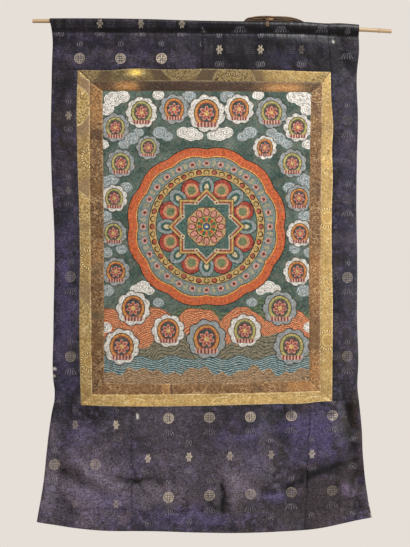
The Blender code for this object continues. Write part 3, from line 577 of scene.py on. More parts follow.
def makeSilk():
    sizes = silkSizes
    material, add = newMaterial("wornSilkBrocade", 0.5, Specular_IOR_Level=0.25)
    # One repeat is 1 by 1 on the UV map, with a medallion at its corners and a star in its middle.
    # A fine noise pushes their outlines about, as loose threads do
    place = add("UVMap", uv_map="weave")
    ragged = add("TexNoise", Vector=place, Scale=26, Detail=3, output="Color")
    ragged = add("VectorMath SUBTRACT", ragged, (0.5, 0.5, 0.5))
    ragged = add("VectorMath SCALE", ragged, Scale=0.018)
    place = add("VectorMath ADD", place, ragged)
    medallion, star = (
        chain(add, place, ("VectorMath SUBTRACT", (half, half, 0)),
              ("VectorMath WRAP", (0.5, 0.5, 0.5), (-0.5, -0.5, -0.5)),
              ("VectorMath MULTIPLY", (*sizes["repeat"], 0))) for half in (0.0, 0.5))
    # Medallion: a pale disc cut by a ring and a small fret of dark lines
    radius = add("VectorMath LENGTH", medallion, output="Value")
    folded = add("VectorMath ABSOLUTE", medallion)
    axes = [add("SeparateXYZ", folded, output=axis) for axis in "XY"]
    x, y = axes
    lines = add("COMPARE", radius, sizes["ring"], 0.6)
    for axis, at, reach in sizes["fret"]:
        line = add("COMPARE", axes[axis], at, sizes["lineHalf"])
        short = add("LESS_THAN", axes[1 - axis], reach)
        lines = add("MAXIMUM", lines, add("MULTIPLY", line, short))
    inside = add("LESS_THAN", radius, sizes["medallion"])
    figure = chain(add, lines, ("MULTIPLY_ADD", -0.8, 1.0), ("MULTIPLY", inside))
    # Star: six blunt points, two up, two down and one to each side, with a dark eye
    across = add("SeparateXYZ", add("VectorMath ABSOLUTE", star))
    up = add("SeparateXYZ", star, output="Y")
    narrowed = add("VectorMath MULTIPLY", star, (sizes["narrower"], 1, 0))
    far = add("VectorMath LENGTH", narrowed, output="Value")
    wide, tall = (add("SeparateXYZ", narrowed, output=axis) for axis in "XY")
    points = chain(add, add("ARCTAN2", wide, tall), ("MULTIPLY", 3), ("SINE",), ("ABSOLUTE",),
                   ("MULTIPLY_ADD", sizes["point"], sizes["waist"]))
    shape = add("MULTIPLY", add("LESS_THAN", far, points), add("GREATER_THAN", far, sizes["eye"]))
    figure = add("MAXIMUM", figure, shape)
    # Marks woven in the ground's own colour. Below a medallion: strokes that fan out
    below = add("SeparateXYZ", medallion, output="Y")
    slope = add("DIVIDE", x, add("SUBTRACT", y, sizes["fanFrom"]))
    rays = chain(add, slope, ("MULTIPLY", 2 * math.pi * sizes["fan"]), ("COSINE",), ("MapRange", -0.1, 0.3))
    near = add("COMPARE", below, -sizes["markAt"], sizes["fanHalf"])
    around = add("MULTIPLY", near, add("LESS_THAN", slope, sizes["fanSlope"]))
    marks = add("MULTIPLY", rays, around)
    # Above both kinds an eye, below a star strokes bent like nested brackets
    for middle, sideways, low in ((below, x, 0), (up, across, sizes["bracketReach"])):
        offset = chain(add, middle, ("ABSOLUTE",), ("SUBTRACT", sizes["markAt"]))
        squared = add("MULTIPLY", offset, offset)
        bent = add("MULTIPLY_ADD", squared, sizes["bend"], sideways)
        reach = chain(add, middle, ("GREATER_THAN", 0), ("MULTIPLY_ADD", sizes["eyeReach"] - low, low))
        eye = add("MULTIPLY", add("LESS_THAN", squared, sizes["eyeHalf"] ** 2), add("LESS_THAN", bent, reach))
        brackets = chain(add, bent, ("MULTIPLY", 2 * math.pi / sizes["bracketStep"]), ("SINE",),
                         ("MapRange", 0, 0.4), ("MULTIPLY", eye))
        marks, around = add("MAXIMUM", marks, brackets), add("MAXIMUM", around, eye)
    # Beside both kinds short strokes lie across
    for sideways, middle in ((x, y), (across, up)):
        aside = add("COMPARE", sideways, *sizes["strokesAt"])
        level = add("COMPARE", middle, 0, sizes["strokesHalf"])
        strokes = chain(add, middle, ("MULTIPLY", 2 * math.pi / sizes["strokeStep"]), ("COSINE",),
                        ("MapRange", 0.1, 0.5, 0, 0.26), ("MULTIPLY", aside), ("MULTIPLY", level))
        marks = add("MAXIMUM", marks, strokes)
    # Wear: threads of the motifs are gone in places
    place = add("TexCoord", output="Object")
    left, bare = (add("Attribute", attribute_name=name, output="Fac") for name in ("left", "bare"))
    worn = add("TexNoise", Vector=place, Scale=130, Detail=3, Roughness=0.65)
    patchy = add("MapRange", add("TexNoise", Vector=place, Scale=8, Detail=1), 0.3, 0.62, 0.6)
    shown = chain(add, worn, ("MapRange", 0.3, 0.58, 0.4), ("MULTIPLY", patchy), ("MULTIPLY", left),
                  ("MULTIPLY", figure))
    # Dark and pale flecks where the face has crazed, and darker ground about the marks
    crazed = add("TexNoise", Vector=place, Scale=230, Detail=5, Roughness=0.8)
    crazed = add("MapRange", crazed, 0.36, 0.64, 0.3, 1.7)
    marked = chain(add, marks, ("MULTIPLY", crazed), ("MULTIPLY", patchy), ("MULTIPLY", sizes["markShown"]))
    # Each point's colouring holds its painted sheen and shade
    colour = add("VectorMath SCALE", add("Attribute", attribute_name="colouring"), Scale=crazed)
    colour = add("VectorMath SCALE", colour, Scale=add("MULTIPLY_ADD", around, -0.35, 1))
    colour = laidOver(add, colour, (marked, sizes["mark"]), (shown, sizes["pale"]))
    # Satin threads that run across, drawn coarser than the real 0.2 mm so that they show
    weave = add("VectorMath MULTIPLY", place, (150, 150, 560))
    weave = add("TexNoise", Vector=weave, Scale=1, Detail=3, Roughness=0.7)
    weave = add("MapRange", weave, 0.3, 0.7, 0.4, 1.6)
    colour = laidOver(add, add("VectorMath SCALE", colour, Scale=weave), (bare, sizes["bare"]))
    roughness = add("MapRange", patchy, 0, 1, 0.58, 0.36)
    # Fine crumples that the cloth has kept, longer downwards than across
    crumples = add("VectorMath MULTIPLY", place, (38, 38, 17))
    crumples = add("TexNoise", Vector=crumples, Scale=1, Detail=4, Roughness=0.55, Distortion=0.8)
    bump = add("MULTIPLY_ADD", crumples, 20, add("MULTIPLY_ADD", figure, 0.6, weave))
    return shade(material, colour, roughness, bump)


def makeLining(name, tone, dust):
    # The reverse of the cloth: plain weave, matt, a little dusty
    material, add = newMaterial(name, 0.85, Specular_IOR_Level=0.25, Sheen_Weight=0.15)
    place = add("TexCoord", output="Object")
    dusty = add("TexNoise", Vector=place, Scale=9, Detail=4)
    threads = add("TexNoise", Vector=place, Scale=420, Detail=1)
    colour = laidOver(add, (*hexColour(tone), 1), (add("MULTIPLY", dusty, threads), dust))
    return shade(material, colour, bump=threads)


def tonedColour(x, z, sizes):
    # A dye with toned places laid over it, some of them painted light, each x, z, half width, half height,
    # amount and the slant of its short ends. Inside the domes the dye is lighter. Also says how much of each
    # point is plain satin, without scrolls
    colour = np.ones(x.shape + (1,)) * np.array(hexColour(sizes["colouring"]))
    cloud = 0.6 * softNoise(x, z, 0.05, 31) + 0.4 * softNoise(x, z, 0.014, 32)
    dome = np.clip(-rimDistance(x, z, sizes["rims"]) / 2, 0, 1)
    plain = np.zeros_like(x)
    for tone, places in sizes["tones"].items():
        amount = np.zeros_like(x)
        for px, pz, wide, tall, strength, lean in places:
            awayX, awayZ = x / mm - px, z / mm - pz
            if wide < tall:
                awayX = awayX - lean * awayZ
            else:
                awayZ = awayZ - lean * awayX
            far = (np.abs(awayX) / wide) ** 8 + (np.abs(awayZ) / tall) ** 8
            amount = np.maximum(amount, strength * np.exp(-far * (1 + 0.3 * cloud)))
        if tone in sizes["satin"]:
            amount = amount * (1 - dome)
            plain = np.maximum(plain, amount)
        colour = tonedOver(colour, tone, amount)
        if tone == sizes["satin"][-1]:
            colour = tonedOver(colour, sizes["dome"], dome * sizes["domeShare"])
    return colour * (1 + 0.2 * cloud)[..., None], plain


def nearestRound(x, z, centres):
    # The way from the nearest of these points and its length, in millimetres
    gaps = np.stack([np.stack([x / mm - cx, z / mm - cz], axis=-1) for cx, cz in centres])
    nearest = (gaps ** 2).sum(axis=-1).argmin(axis=0)
    way = np.take_along_axis(gaps, nearest[None, ..., None], axis=0)[0]
    return np.concatenate([way, np.linalg.norm(way, axis=-1, keepdims=True)], axis=-1)


# Gold brocade: flat metal-wrapped threads give a warm broken shine over a brown silk ground
goldSizes = {
    "colouring": "a5854e", "dark": "523a1c", "light": "ead6a0", "dome": "bf9f60", "domeShare": 0.75,
    "scroll": 6.5, "ring": 22, "net": 0.3, "gap": 0.9, "satin": ("6a523a", "8b6f55"),
    # Painted light and shade of each strip: the top one is dark where the lamp doesn't glare on it
    "paintedStripLight": {"top": 0.46, "bottom": 1.34, "left": 1.02, "right": 1.12},
    # Where the lamp glares on the top strip: x, z, half width, half height, brightness, tone
    "glares": [(-184, -117, 17, 7.5, 1.9, "dcbc44"), (216, -122, 84, 30, 0.74, "c9a35a")],
    "smooth": {"top": 0.0, "bottom": 0.3, "left": 0.0, "right": 0.35},
    "rounds": [(-290, -322), (-292, -566), (-292, -811), (49, -142), (278, -466), (278, -760)],
    # Domes: large roundels cut off by the strip's edges: x, z, radius
    "rims": [(-293, -111, 24), (-74, -80, 56), (53, -145, 51), (-346, -196, 54), (-337, -441, 43),
             (-343, -700, 50), (300, -330, 40), (302, -640, 44), (262, -150, 30), (250, -940, 46),
             (30, -944, 48), (-180, -948, 48)],
    "tones": {
        "6a523a": [(-276, -122, 38, 30, 0.85, 0.5), (-127, -122, 20, 30, 0.9, -0.45),
                   (-13, -122, 22, 30, 0.9, 0.5), (104, -122, 21, 30, 0.85, -0.4)],
        "8b6f55": [(-308, -200, 30, 74, 0.85, -0.1), (-308, -400, 26, 34, 0.8, 0.8),
                   (-308, -486, 26, 9, 0.4, 0), (-306, -650, 26, 30, 0.6, -0.3),
                   (276, -250, 20, 14, 0.3, 0.5)],
        "85713f": [(-221, -122, 21, 14, 0.7, 0), (-160, -122, 12, 30, 0.5, 0)],
        # Light gold: painted light where the top strip's right part, the right strip and the bottom strip
        # face the lamp
        "c9a560": [(205, -124, 76, 18, 0.8, 0), (278, -560, 14, 280, 0.3, 0), (40, -905, 230, 9, 0.3, 0)],
    },
}
# Copper brocade: a redder ground with less metal in its threads, so its shine is duller and broken
copperSizes = {
    "colouring": "74512e", "dark": "2e1d12", "light": "cfae80", "dome": "7d5932", "domeShare": 0.5,
    "scroll": 7.5, "ring": 9, "net": 0.8, "gap": 0.3, "satin": ("3f2a1e", "6a4a26", "5b4c34"),
    "paintedStripLight": {"top": 0.42, "bottom": 1.3, "left": 1.04, "right": 1.1},
    "glares": [(-205, -149, 30, 9, 1.15, "b07c44"), (176, -154, 52, 10, 1.1, "b8824a")],
    "smooth": {"top": 0.3, "bottom": 0.4, "left": 0.0, "right": 0.1},
    "rounds": [(-227, -874), (77, -880), (145, -876), (-278, -560), (252, -320), (252, -640)],
    "rims": [(255, -165, 24), (-276, -440, 16), (252, -500, 17), (-30, -870, 17), (-276, -330, 14)],
    "tones": {
        # Orange: the first two, on the top strip, are painted glare where the lamp glares; the others are the
        # copper's own colour
        "b07c44": [(-205, -149, 28, 14, 1.0, 0), (170, -153, 44, 14, 0.9, 0), (-276, -195, 16, 48, 0.7, 0),
                   (249, -605, 13, 84, 0.5, 0), (249, -845, 14, 60, 0.6, 0), (222, -872, 40, 13, 0.6, 0),
                   (-110, -876, 11, 14, 0.6, 0), (-276, -548, 14, 26, 0.45, 0)],
        "3f2a1e": [(-110, -149, 66, 14, 0.8, 0), (20, -149, 90, 14, 0.7, 0), (-276, -266, 16, 13, 0.7, 0),
                   (252, -196, 13, 24, 0.5, 0), (251, -395, 13, 18, 0.5, 0), (-98, -877, 3, 14, 0.8, 0),
                   (108, -880, 14, 12, 0.5, 0)],
        "5e2a26": [(-78, -147, 15, 8, 0.55, 0), (-12, -148, 20, 9, 0.5, 0), (62, -150, 18, 8, 0.4, 0)],
        "6a4a26": [(-276, -394, 16, 18, 0.7, 0.2), (-276, -498, 16, 9, 0.6, 0), (-272, -766, 10, 20, 0.7, 0),
                   (249, -748, 13, 30, 0.6, 0)],
        "5b4c34": [(-276, -700, 16, 9, 0.8, 0), (-276, -590, 16, 14, 0.5, 0.3), (251, -540, 13, 12, 0.4, 0)],
    },
}


def rimDistance(x, z, rims):
    # How far each point lies outside the nearest of these circles, in millimetres
    return np.stack([np.hypot(x / mm - cx, z / mm - cz) - size for cx, cz, size in rims]).min(axis=0)


def makeBrocade(name, sizes, metallic):
    # The figure in light threads and the shadows round it, both laid over the colouring of each point, which
    # carries painted glare and painted light
    material, add = newMaterial(name, 0.5, Metallic=metallic, Specular_IOR_Level=0.5)
    place = add("TexCoord", output="Object")
    plain, rim, paintedLight = (
        add("Attribute", attribute_name=name, output="Fac") for name in ("plain", "rim", "paintedLight"))
    colouring = add("Attribute", attribute_name="colouring")
    # Vine scrolls: the contour lines of a noise, and leaves where it is high
    perMetre = 1000 / sizes["scroll"]
    vine = add("TexNoise", Vector=place, Scale=perMetre / 1.6, Detail=0.6, Distortion=1.6)
    scroll = add("MAXIMUM", add("COMPARE", vine, 0.5, 0.035), add("MapRange", vine, 0.63, 0.68))
    # Roundels: a dotted ring with a plain ring inside, about given points
    way = add("Attribute", attribute_name="round", output="Vector")
    x, z, radius = (add("SeparateXYZ", way, output=axis) for axis in "XYZ")
    ring = sizes["ring"]
    band = add("COMPARE", radius, ring, 1.7)
    dots = chain(add, add("ARCTAN2", z, x), ("MULTIPLY", round(ring * 1.1)), ("SINE",), ("GREATER_THAN", 0),
                 ("MULTIPLY", band))
    roundel = add("MAXIMUM", dots, add("COMPARE", radius, ring * 0.62, 0.9))
    outside = add("SUBTRACT", 1, add("LESS_THAN", radius, ring + 3))
    # Places of plain satin carry no scrolls
    worked = add("MULTIPLY_ADD", plain, -0.9, 1)
    figure = chain(add, scroll, ("MULTIPLY", outside), ("MULTIPLY", worked), ("MAXIMUM", roundel),
                   ("MAXIMUM", add("COMPARE", rim, 0, 1.1)))
    # A net of small knots: light dots with dark gaps, thick inside the domes
    knots = add("TexVoronoi", Vector=place, Scale=260)
    netted = chain(add, rim, ("MapRange", -0.5, -2, sizes["net"]), ("MULTIPLY", worked))
    figure = add("MAXIMUM", figure, add("MULTIPLY", netted, add("MapRange", knots, 0.34, 0.2, 0, 0.7)))
    scales = add("MULTIPLY", netted, add("MapRange", knots, 0.5, 0.75, 0, 0.8))
    rubbed = add("TexNoise", Vector=place, Scale=55, Detail=3)
    rubbed = add("MapRange", rubbed, 0.35, 0.65, 0.15, 0.75)
    shown = add("MAXIMUM", add("MULTIPLY", figure, rubbed), add("MULTIPLY", dots, sizes["gap"]))
    # Shadows: in the ground, round the knots and between the beads of a ring
    between = add("MULTIPLY", add("SUBTRACT", band, dots), sizes["gap"])
    shadow = add("TexVoronoi", Vector=place, Scale=perMetre * 1.5)
    shadow = chain(add, shadow, ("MapRange", 0.45, 0.8, 0, 0.5), ("MULTIPLY", outside), ("MULTIPLY", worked),
                   ("MAXIMUM", scales), ("MAXIMUM", between))
    colour = laidOver(add, colouring, (shown, sizes["light"]), (shadow, sizes["dark"]))
    # Threads, drawn coarser than the real 0.25 mm so that they show
    ribbed = add("VectorMath MULTIPLY", place, (130, 130, 420))
    weave = add("TexNoise", Vector=ribbed, Scale=1, Detail=2)
    # Painted light: each strip's brightness by its side and under the lamp's glare
    bright = chain(add, weave, ("MapRange", 0.3, 0.7, 0.78, 1.22), ("MULTIPLY", paintedLight))
    colour = add("VectorMath SCALE", colour, Scale=bright)
    roughness = add("MapRange", rubbed, 0, 1, 0.62, 0.38)
    crumples = add("TexNoise", Vector=place, Scale=26, Detail=3, Distortion=0.6)
    bump = add("MULTIPLY_ADD", crumples, 4, add("MULTIPLY_ADD", figure, 0.7, weave))
    return shade(material, colour, roughness, bump, 0.4)


# Painted cotton: matt mineral colours on a chalk ground, dusty and rubbed. The picture is a
# design of lotus flowers in haloes round a lobed wheel, above hills and water.
greenInk, brownInk = "2a2f2c", "221c19"
picture = {
    "middle": (-13, -511), "ground": "354d45", "wheel": (-13, -487),
    # Lotus places: x and z from the picture's middle, size, and the kind, 0 to 1, of its cloud and
    # haloes; a place off the middle has a second one across it, with its own kind
    "lotuses": [(0, 296, 1.25, 0.1), (78, 306, 1.0, 0.4, 0.7), (156, 298, 1.05, 0.85, 0.2),
                (219, 262, 0.95, 0.3, 0.55), (206, 176, 0.95, 0.65, 0.9), (222, 92, 0.9, 0.75, 0.25),
                (224, 8, 0.9, 0.15, 0.6), (218, -84, 0.95, 0.45, 0.8), (176, -172, 1.15, 0.95, 0.05),
                (92, -226, 1.1, 0.2, 0.5), (0, -246, 1.3, 0.7), (204, -264, 1.2, 0.55, 0.35),
                (140, 214, 0.8, 0.05, 0.95)],
    # A lotus: edges of its cloud with their two tones, haloes with their size, height, stretch and
    # two tones, petals with their distance, half width, half length and tone, its cushion, and how
    # far out haloes and cushion may reach
    "cloud": [(33.6, greenInk, greenInk), (31.8, "e6e4dc", "97a2a4")],
    "haloes": [(24.5, 0, 1.12, brownInk, brownInk), (23, 0, 1.12, "c98a4c", "b8a868"),
               (18, 1, 1.12, "8c3f36", "4a6a50"), (16, 1, 1.1, "39504c", "6a4a48")],
    "flower": [(9.5, 4.6, 6.4, brownInk), (9.5, 3.8, 5.6, "cf9686"), (8.5, 2.2, 4.0, "a5503e")],
    "eye": (4.4, "d2b06a"), "cushion": (-22, 4.6, 21), "cushionTones": ("8a4440", "cfa694"),
    "haloReach": 30, "cushionReach": 31,
    # Clouds: balls at x, z and size, one side mirrored to the other unevenly
    "whiteClouds": [(34, 246, 20), (52, 250, 16), (16, 242, 12), (228, 330, 22), (206, 336, 18),
                    (242, 306, 18), (246, 222, 14), (150, -120, 17), (134, -130, 12), (168, -126, 13),
                    (246, -218, 16), (120, 340, 14)],
    "greyClouds": [(108, 250, 18), (90, 240, 14), (176, 236, 18), (160, 250, 14), (242, 130, 20),
                   (228, 138, 16), (240, 48, 18), (244, -38, 16), (196, 118, 16), (208, -30, 14),
                   (236, -130, 18), (112, -158, 14), (46, 336, 18), (196, 222, 14)],
    # Wheel, painted from the outside in: shape, size, tone, then for petals their number, half
    # width, half length and turn
    "rings": [
        ("lobed", 187, brownInk), ("lobed", 185, "c9653c"), ("lobed", 166, "e0a45a"),
        ("lobed", 163.5, brownInk), ("lobed", 162, "7c8a84"), ("petals", 152, "cf9c8c", 28, 8, 7, 0.0),
        ("petals", 152, "6a3a36", 28, 4, 3.6, 0.0), ("petals", 153, "a8a184", 28, 4.5, 8, 0.5),
        ("round", 140, brownInk), ("round", 138.5, "c8a468"), ("petals", 131, brownInk, 44, 7.2, 6.2, 0.0),
        ("petals", 130, "b05a44", 22, 5.2, 4.4, 0.0), ("petals", 130, "c2a468", 22, 5.2, 4.4, 0.5),
        ("round", 122.5, brownInk), ("round", 121, "5f7a70"), ("petals", 97, brownInk, 8, 26, 25, 0.5),
        ("petals", 97, "a5463a", 8, 24, 23, 0.5), ("petals", 95, "c98f6a", 8, 17, 16, 0.5),
        ("petals", 94, "6f7f58", 8, 10, 10, 0.5), ("petals", 97, brownInk, 8, 19, 25, 0.0),
        ("petals", 97, "8c9896", 8, 17.5, 23, 0.0), ("petals", 95, "3f5f58", 8, 11, 15, 0.0),
        ("petals", 95, "d6c49c", 8, 5, 8, 0.0), ("star", 66, brownInk), ("star", 64.5, "c8a662"),
        ("star", 60, "9a4a3e"), ("star", 56, "b8b09a"), ("star", 53, "4d6a62"),
        ("petals", 62, "d9c9a4", 8, 5, 5, 0.5), ("petals", 62, "7a3a34", 8, 2.6, 2.6, 0.5),
        ("octagon", 47, brownInk), ("octagon", 45.5, "c0a070"), ("petals", 35, "7a3c38", 12, 8, 10, 0.0),
        ("petals", 35, "cf8f7e", 12, 5.4, 8, 0.0), ("round", 26, brownInk), ("round", 24.5, "c9a95e"),
        ("petals", 17, "4c6e4c", 8, 5.4, 6.5, 0.5), ("petals", 17, "c4603e", 8, 3.6, 5, 0.0),
        ("round", 9, brownInk), ("round", 7.6, "4f6488"), ("round", 3, "d8c89c"),
    ],
}


def puffs(x, z, balls):
    # A cloud: balls run together, each the distance from its middle less its size
    return np.stack([np.hypot(x - bx, (z - bz) * 1.25) - size for bx, bz, size in balls]).min(axis=0)


def paintLayers(x, z):
    # Hills, water and clouds: each layer's distance to its edge in millimetres, in painting order
    x, z = x / mm - picture["middle"][0], z / mm - picture["middle"][1]
    side = np.abs(x) + 4 * np.sin(z / 31) * np.sign(x)
    wild = 5 * softNoise(x * mm, z * mm, 0.02, 51)
    farHills = z + 170 - 24 * np.cos((x + 14) / 25) - 9 * np.cos(x / 10 + 1) + wild
    rocks = np.minimum(z + 206 - 34 * np.abs(np.cos((x + 20) / 34)) ** 0.6 + wild, 30)
    nearHills = z + 250 - 20 * np.cos(x / 33 + 2.2) - 6 * np.cos(x / 9) + wild
    water = z + 290 - 5 * np.cos(x / 13) + wild * 0.5
    meadow = z + 322 - 7 * np.cos(x / 21 + 1) - 4 * np.cos(x / 6) + wild
    clouds = {name: puffs(side, z, picture[name]) for name in ("greyClouds", "whiteClouds")}
    return {"farHills": farHills, "rocks": rocks, "nearHills": nearHills, "water": water,
            "meadow": meadow, **clouds}


def lotusPlaces(x, z):
    # For each point: the way to its nearest lotus in the lotus's own size, its distance and kind
    x, z = x / mm - picture["middle"][0], z / mm - picture["middle"][1]
    rows = []
    for lotusX, lotusZ, size, *kinds in picture["lotuses"]:
        rows += [(side * lotusX, lotusZ, size, kind) for side, kind in zip((1, -1), kinds)][::-1]
    gaps = np.stack([np.stack([(x - lx) / size, (z - lz) / size], axis=-1) for lx, lz, size, kind in rows])
    nearest = np.linalg.norm(gaps, axis=-1).argmin(axis=0)
    way = np.take_along_axis(gaps, nearest[None, ..., None], axis=0)[0]
    far = np.linalg.norm(way, axis=-1, keepdims=True)
    return {"lotus": np.concatenate([way, far], axis=-1), "lotusKind": np.array(rows)[nearest, 3]}


# Each layer's fill, the colour of its contour lines and their spacing
layerTones = {
    "farHills": ("627659", "2c4036", 9), "rocks": ("b5623c", "f0b88c", 5),
    "nearHills": ("88806a", "34443a", 8), "water": ("44646a", "c2cfc8", 5), "meadow": ("b3906e", "4c5240", 6),
    "greyClouds": ("8b979a", "d0d4ce", 5), "whiteClouds": ("f2ece2", "8b8e8c", 5),
}


def petalMask(add, angle, far, count, at, wide, long, turn):
    # Petals round a middle: ovals of this half width and half length, this far out
    across = chain(add, angle, ("MULTIPLY_ADD", count / 2 / math.pi, turn), ("WRAP", 0.5, -0.5),
                   ("MULTIPLY", far), ("MULTIPLY", 2 * math.pi / count / wide))
    outwards = chain(add, far, ("SUBTRACT", at), ("DIVIDE", long))
    oval = add("VectorMath LENGTH", add("CombineXYZ", across, outwards, 0), output="Value")
    return add("LESS_THAN", oval, 1)


def makePaint():
    # Masks with their tones, gathered in the order of painting and laid over the ground
    material, add = newMaterial("paintedCotton", 0.85, Specular_IOR_Level=0.25)
    place = add("TexCoord", output="Object")
    shaky = add("MapRange", add("TexNoise", Vector=place, Scale=110, Detail=2), 0, 1, -2.2, 2.2)
    cloudy = add("TexNoise", Vector=place, Scale=16, Detail=4, Roughness=0.6)
    painted = [(add("MapRange", cloudy, 0.35, 0.68), "6b7a70")]
    for name, (tone, lineTone, spacing) in layerTones.items():
        far = add("ADD", add("Attribute", attribute_name=name, output="Fac"), shaky)
        fill = add("MapRange", far, 0.5, -0.5)
        line = chain(add, far, ("MULTIPLY", 2 * math.pi / spacing), ("SINE",),
                     ("MapRange", 0.35, 0.8, 0, 0.85), ("MULTIPLY", fill))
        painted += [(fill, tone), (line, lineTone)]
    # Lotus places: a lobed cloud, two haloes, a flower of petals and a cushion of petals below it
    way = add("Attribute", attribute_name="lotus", output="Vector")
    kind = add("Attribute", attribute_name="lotusKind", output="Fac")
    x, z, far = (add("SeparateXYZ", way, output=axis) for axis in "XYZ")
    angle = add("ARCTAN2", z, x)
    odd = add("GREATER_THAN", kind, 0.5)
    lobes = chain(add, angle, ("MULTIPLY", 4.5), ("SINE",), ("ABSOLUTE",), ("MULTIPLY_ADD", -4.5, far))
    lobes = add("MULTIPLY_ADD", shaky, 0.5, lobes)
    for size, tone, oddTone in picture["cloud"]:
        edge = add("LESS_THAN", lobes, size)
        painted += [(edge, tone), (add("MULTIPLY", edge, odd), oddTone)]
    swirl = chain(add, lobes, ("MULTIPLY", 2 * math.pi / 4.2), ("SINE",), ("MapRange", 0.4, 0.9, 0, 0.7),
                  ("MULTIPLY", edge))
    painted.append((swirl, "a08a78"))
    odd = chain(add, kind, ("MULTIPLY", 3), ("FRACT",), ("GREATER_THAN", 0.5))
    near = add("LESS_THAN", far, picture["haloReach"])
    for size, up, stretch, tone, oddTone in picture["haloes"]:
        raised = chain(add, z, ("SUBTRACT", up), ("DIVIDE", stretch))
        oval = add("VectorMath LENGTH", add("CombineXYZ", x, raised, 0), output="Value")
        oval = chain(add, oval, ("LESS_THAN", size), ("MULTIPLY", near))
        painted += [(oval, tone), (add("MULTIPLY", oval, odd), oddTone)]
    for at, wide, long, tone in picture["flower"]:
        painted.append((petalMask(add, angle, far, 7, at, wide, long, 0.25), tone))
    size, tone = picture["eye"]
    painted.append((add("LESS_THAN", far, size), tone))
    down, tall, wide = picture["cushion"]
    cushion = chain(add, z, ("COMPARE", down, tall), ("MULTIPLY", add("COMPARE", x, 0, wide)),
                    ("MULTIPLY", add("LESS_THAN", far, picture["cushionReach"])))
    scallops = chain(add, x, ("MULTIPLY", 2 * math.pi / 6.5), ("COSINE",), ("GREATER_THAN", 0.1),
                     ("MULTIPLY", cushion))
    painted += zip((cushion, scallops), picture["cushionTones"])
    # The wheel
    centre = (picture["wheel"][0] * mm, 0, picture["wheel"][1] * mm)
    centre = add("VectorMath SCALE", add("VectorMath SUBTRACT", place, centre), Scale=1000)
    x, z = (add("SeparateXYZ", centre, output=axis) for axis in "XZ")
    radius = add("VectorMath LENGTH", add("CombineXYZ", x, z, 0), output="Value")
    radius = add("MULTIPLY_ADD", shaky, 0.3, radius)
    angle = add("ARCTAN2", z, x)
    lobed = chain(add, angle, ("MULTIPLY", 6), ("SINE",), ("ABSOLUTE",), ("MULTIPLY_ADD", -7, radius))
    x, z = (add("ABSOLUTE", value) for value in (x, z))
    square = add("MAXIMUM", x, z)
    turned = chain(add, x, ("ADD", z), ("MULTIPLY", math.sqrt(0.5)))
    shapes = {"round": radius, "lobed": lobed, "star": add("MINIMUM", square, turned),
              "octagon": add("MAXIMUM", square, turned)}
    for shape, size, tone, *petals in picture["rings"]:
        if petals:
            count, wide, long, turn = petals
            mask = petalMask(add, angle, radius, count, size, wide, long, turn)
        else:
            mask = add("LESS_THAN", shapes[shape], size)
        painted.append((mask, tone))
    colour = laidOver(add, (*hexColour(picture["ground"]), 1), *painted)
    # Brushwork, dust and rubbing
    brush = add("TexNoise", Vector=place, Scale=210, Detail=3, Roughness=0.7)
    brush = add("MapRange", brush, 0.32, 0.68, 0.35, 1.2)
    dust = add("TexNoise", Vector=place, Scale=60, Detail=5, Roughness=0.7)
    dust = add("MapRange", dust, 0.48, 0.8, 0, 0.45)
    colour = laidOver(add, add("VectorMath SCALE", colour, Scale=brush), (dust, "947e68"))
    return shade(material, colour, bump=brush, strength=0.12)


def makeBamboo():
    # Bamboo cane, scraped and bare: pale straw, darker along fibres, a little shine on the skin
    material, add = newMaterial("bareBamboo", 0.42, Specular_IOR_Level=0.5)
    stretched = add("VectorMath MULTIPLY", add("TexCoord", output="Object"), (6, 260, 260))
    fibres = add("MapRange", add("TexNoise", Vector=stretched, Scale=1, Detail=3), 0.35, 0.7)
    colour = laidOver(add, (*hexColour("c2a882"), 1), (fibres, "8c6a46"))
    return shade(material, colour, bump=fibres, strength=0.2)


def makeRibbon():
    # Thin changeable silk ribbon: brown, with dull gold streaks that are painted sheen
    material, add = newMaterial("brownGoldRibbon", 0.42, Specular_IOR_Level=0.45, Sheen_Weight=0.3)
    place = add("TexCoord", output="Object")
    stretched = add("VectorMath MULTIPLY", place, (60, 260, 420))
    # Painted sheen: streaks of dull gold along the ribbon
    ribbonSheen = add("MapRange", add("TexNoise", Vector=stretched, Scale=1, Detail=2), 0.4, 0.68)
    threads = add("TexNoise", Vector=place, Scale=900, Detail=1)
    colour = laidOver(add, (*hexColour("39281a"), 1), (ribbonSheen, "8a6638"))
    return shade(material, colour, bump=threads, strength=0.15)


# Seams, all in metres in the front view

corners = ("topLeft", "topRight", "lowLeft", "lowRight")
outer, inner, canvas = (
    {name: np.array(pair, dtype=float) * mm for name, pair in zip(corners, pairs)}
    for pairs in ([cloth[line][end] for line in ("frameTop", "frameLow") for end in (0, -1)],
                  cloth["innerCorners"], cloth["canvasCorners"]))
topSeam, sideSeam, splice, shoulder, hemLeft = (
    cloth[name] * mm for name in ("topSeam", "sideSeam", "splice", "shoulder", "hemSeamLeft"))


def boxSeams(corner, bows):
    # The four slightly bowed sides between four corners
    top, low, left, right = (bow * mm for bow in bows)
    return {
        "top": straight(corner["topLeft"], corner["topRight"], -top),
        "low": straight(corner["lowLeft"], corner["lowRight"], low),
        "left": straight(corner["topLeft"], corner["lowLeft"], left),
        "right": straight(corner["topRight"], corner["lowRight"], -right),
    }


def onSide(curve, z):
    # The point of an upright seam at this height
    return float(curve(z)), float(z)


def onLevel(curve, x):
    # The point of a level seam at this place
    return float(x), float(curve(x))


innerSeams, canvasSeams = boxSeams(inner, cloth["innerBow"]), boxSeams(canvas, cloth["canvasBow"])
outerSeams = {
    "top": along(frameTop, outer["topLeft"][0], outer["topRight"][0]),
    "low": along(frameLow, outer["lowLeft"][0], outer["lowRight"][0]),
    "left": down(frameLeft, outer["topLeft"][1], outer["lowLeft"][1]),
    "right": down(frameRight, outer["topRight"][1], outer["lowRight"][1]),
}
topShoulder = straight(onSide(leftEdge, outer["topLeft"][1]), outer["topLeft"])
hipLeft = straight(onSide(leftEdge, shoulder), outer["lowLeft"])
hipRight = straight(outer["lowRight"], onSide(rightEdge, shoulder))
spliceSeam = straight(onSide(leftEdge, splice), onSide(frameLeft, splice))

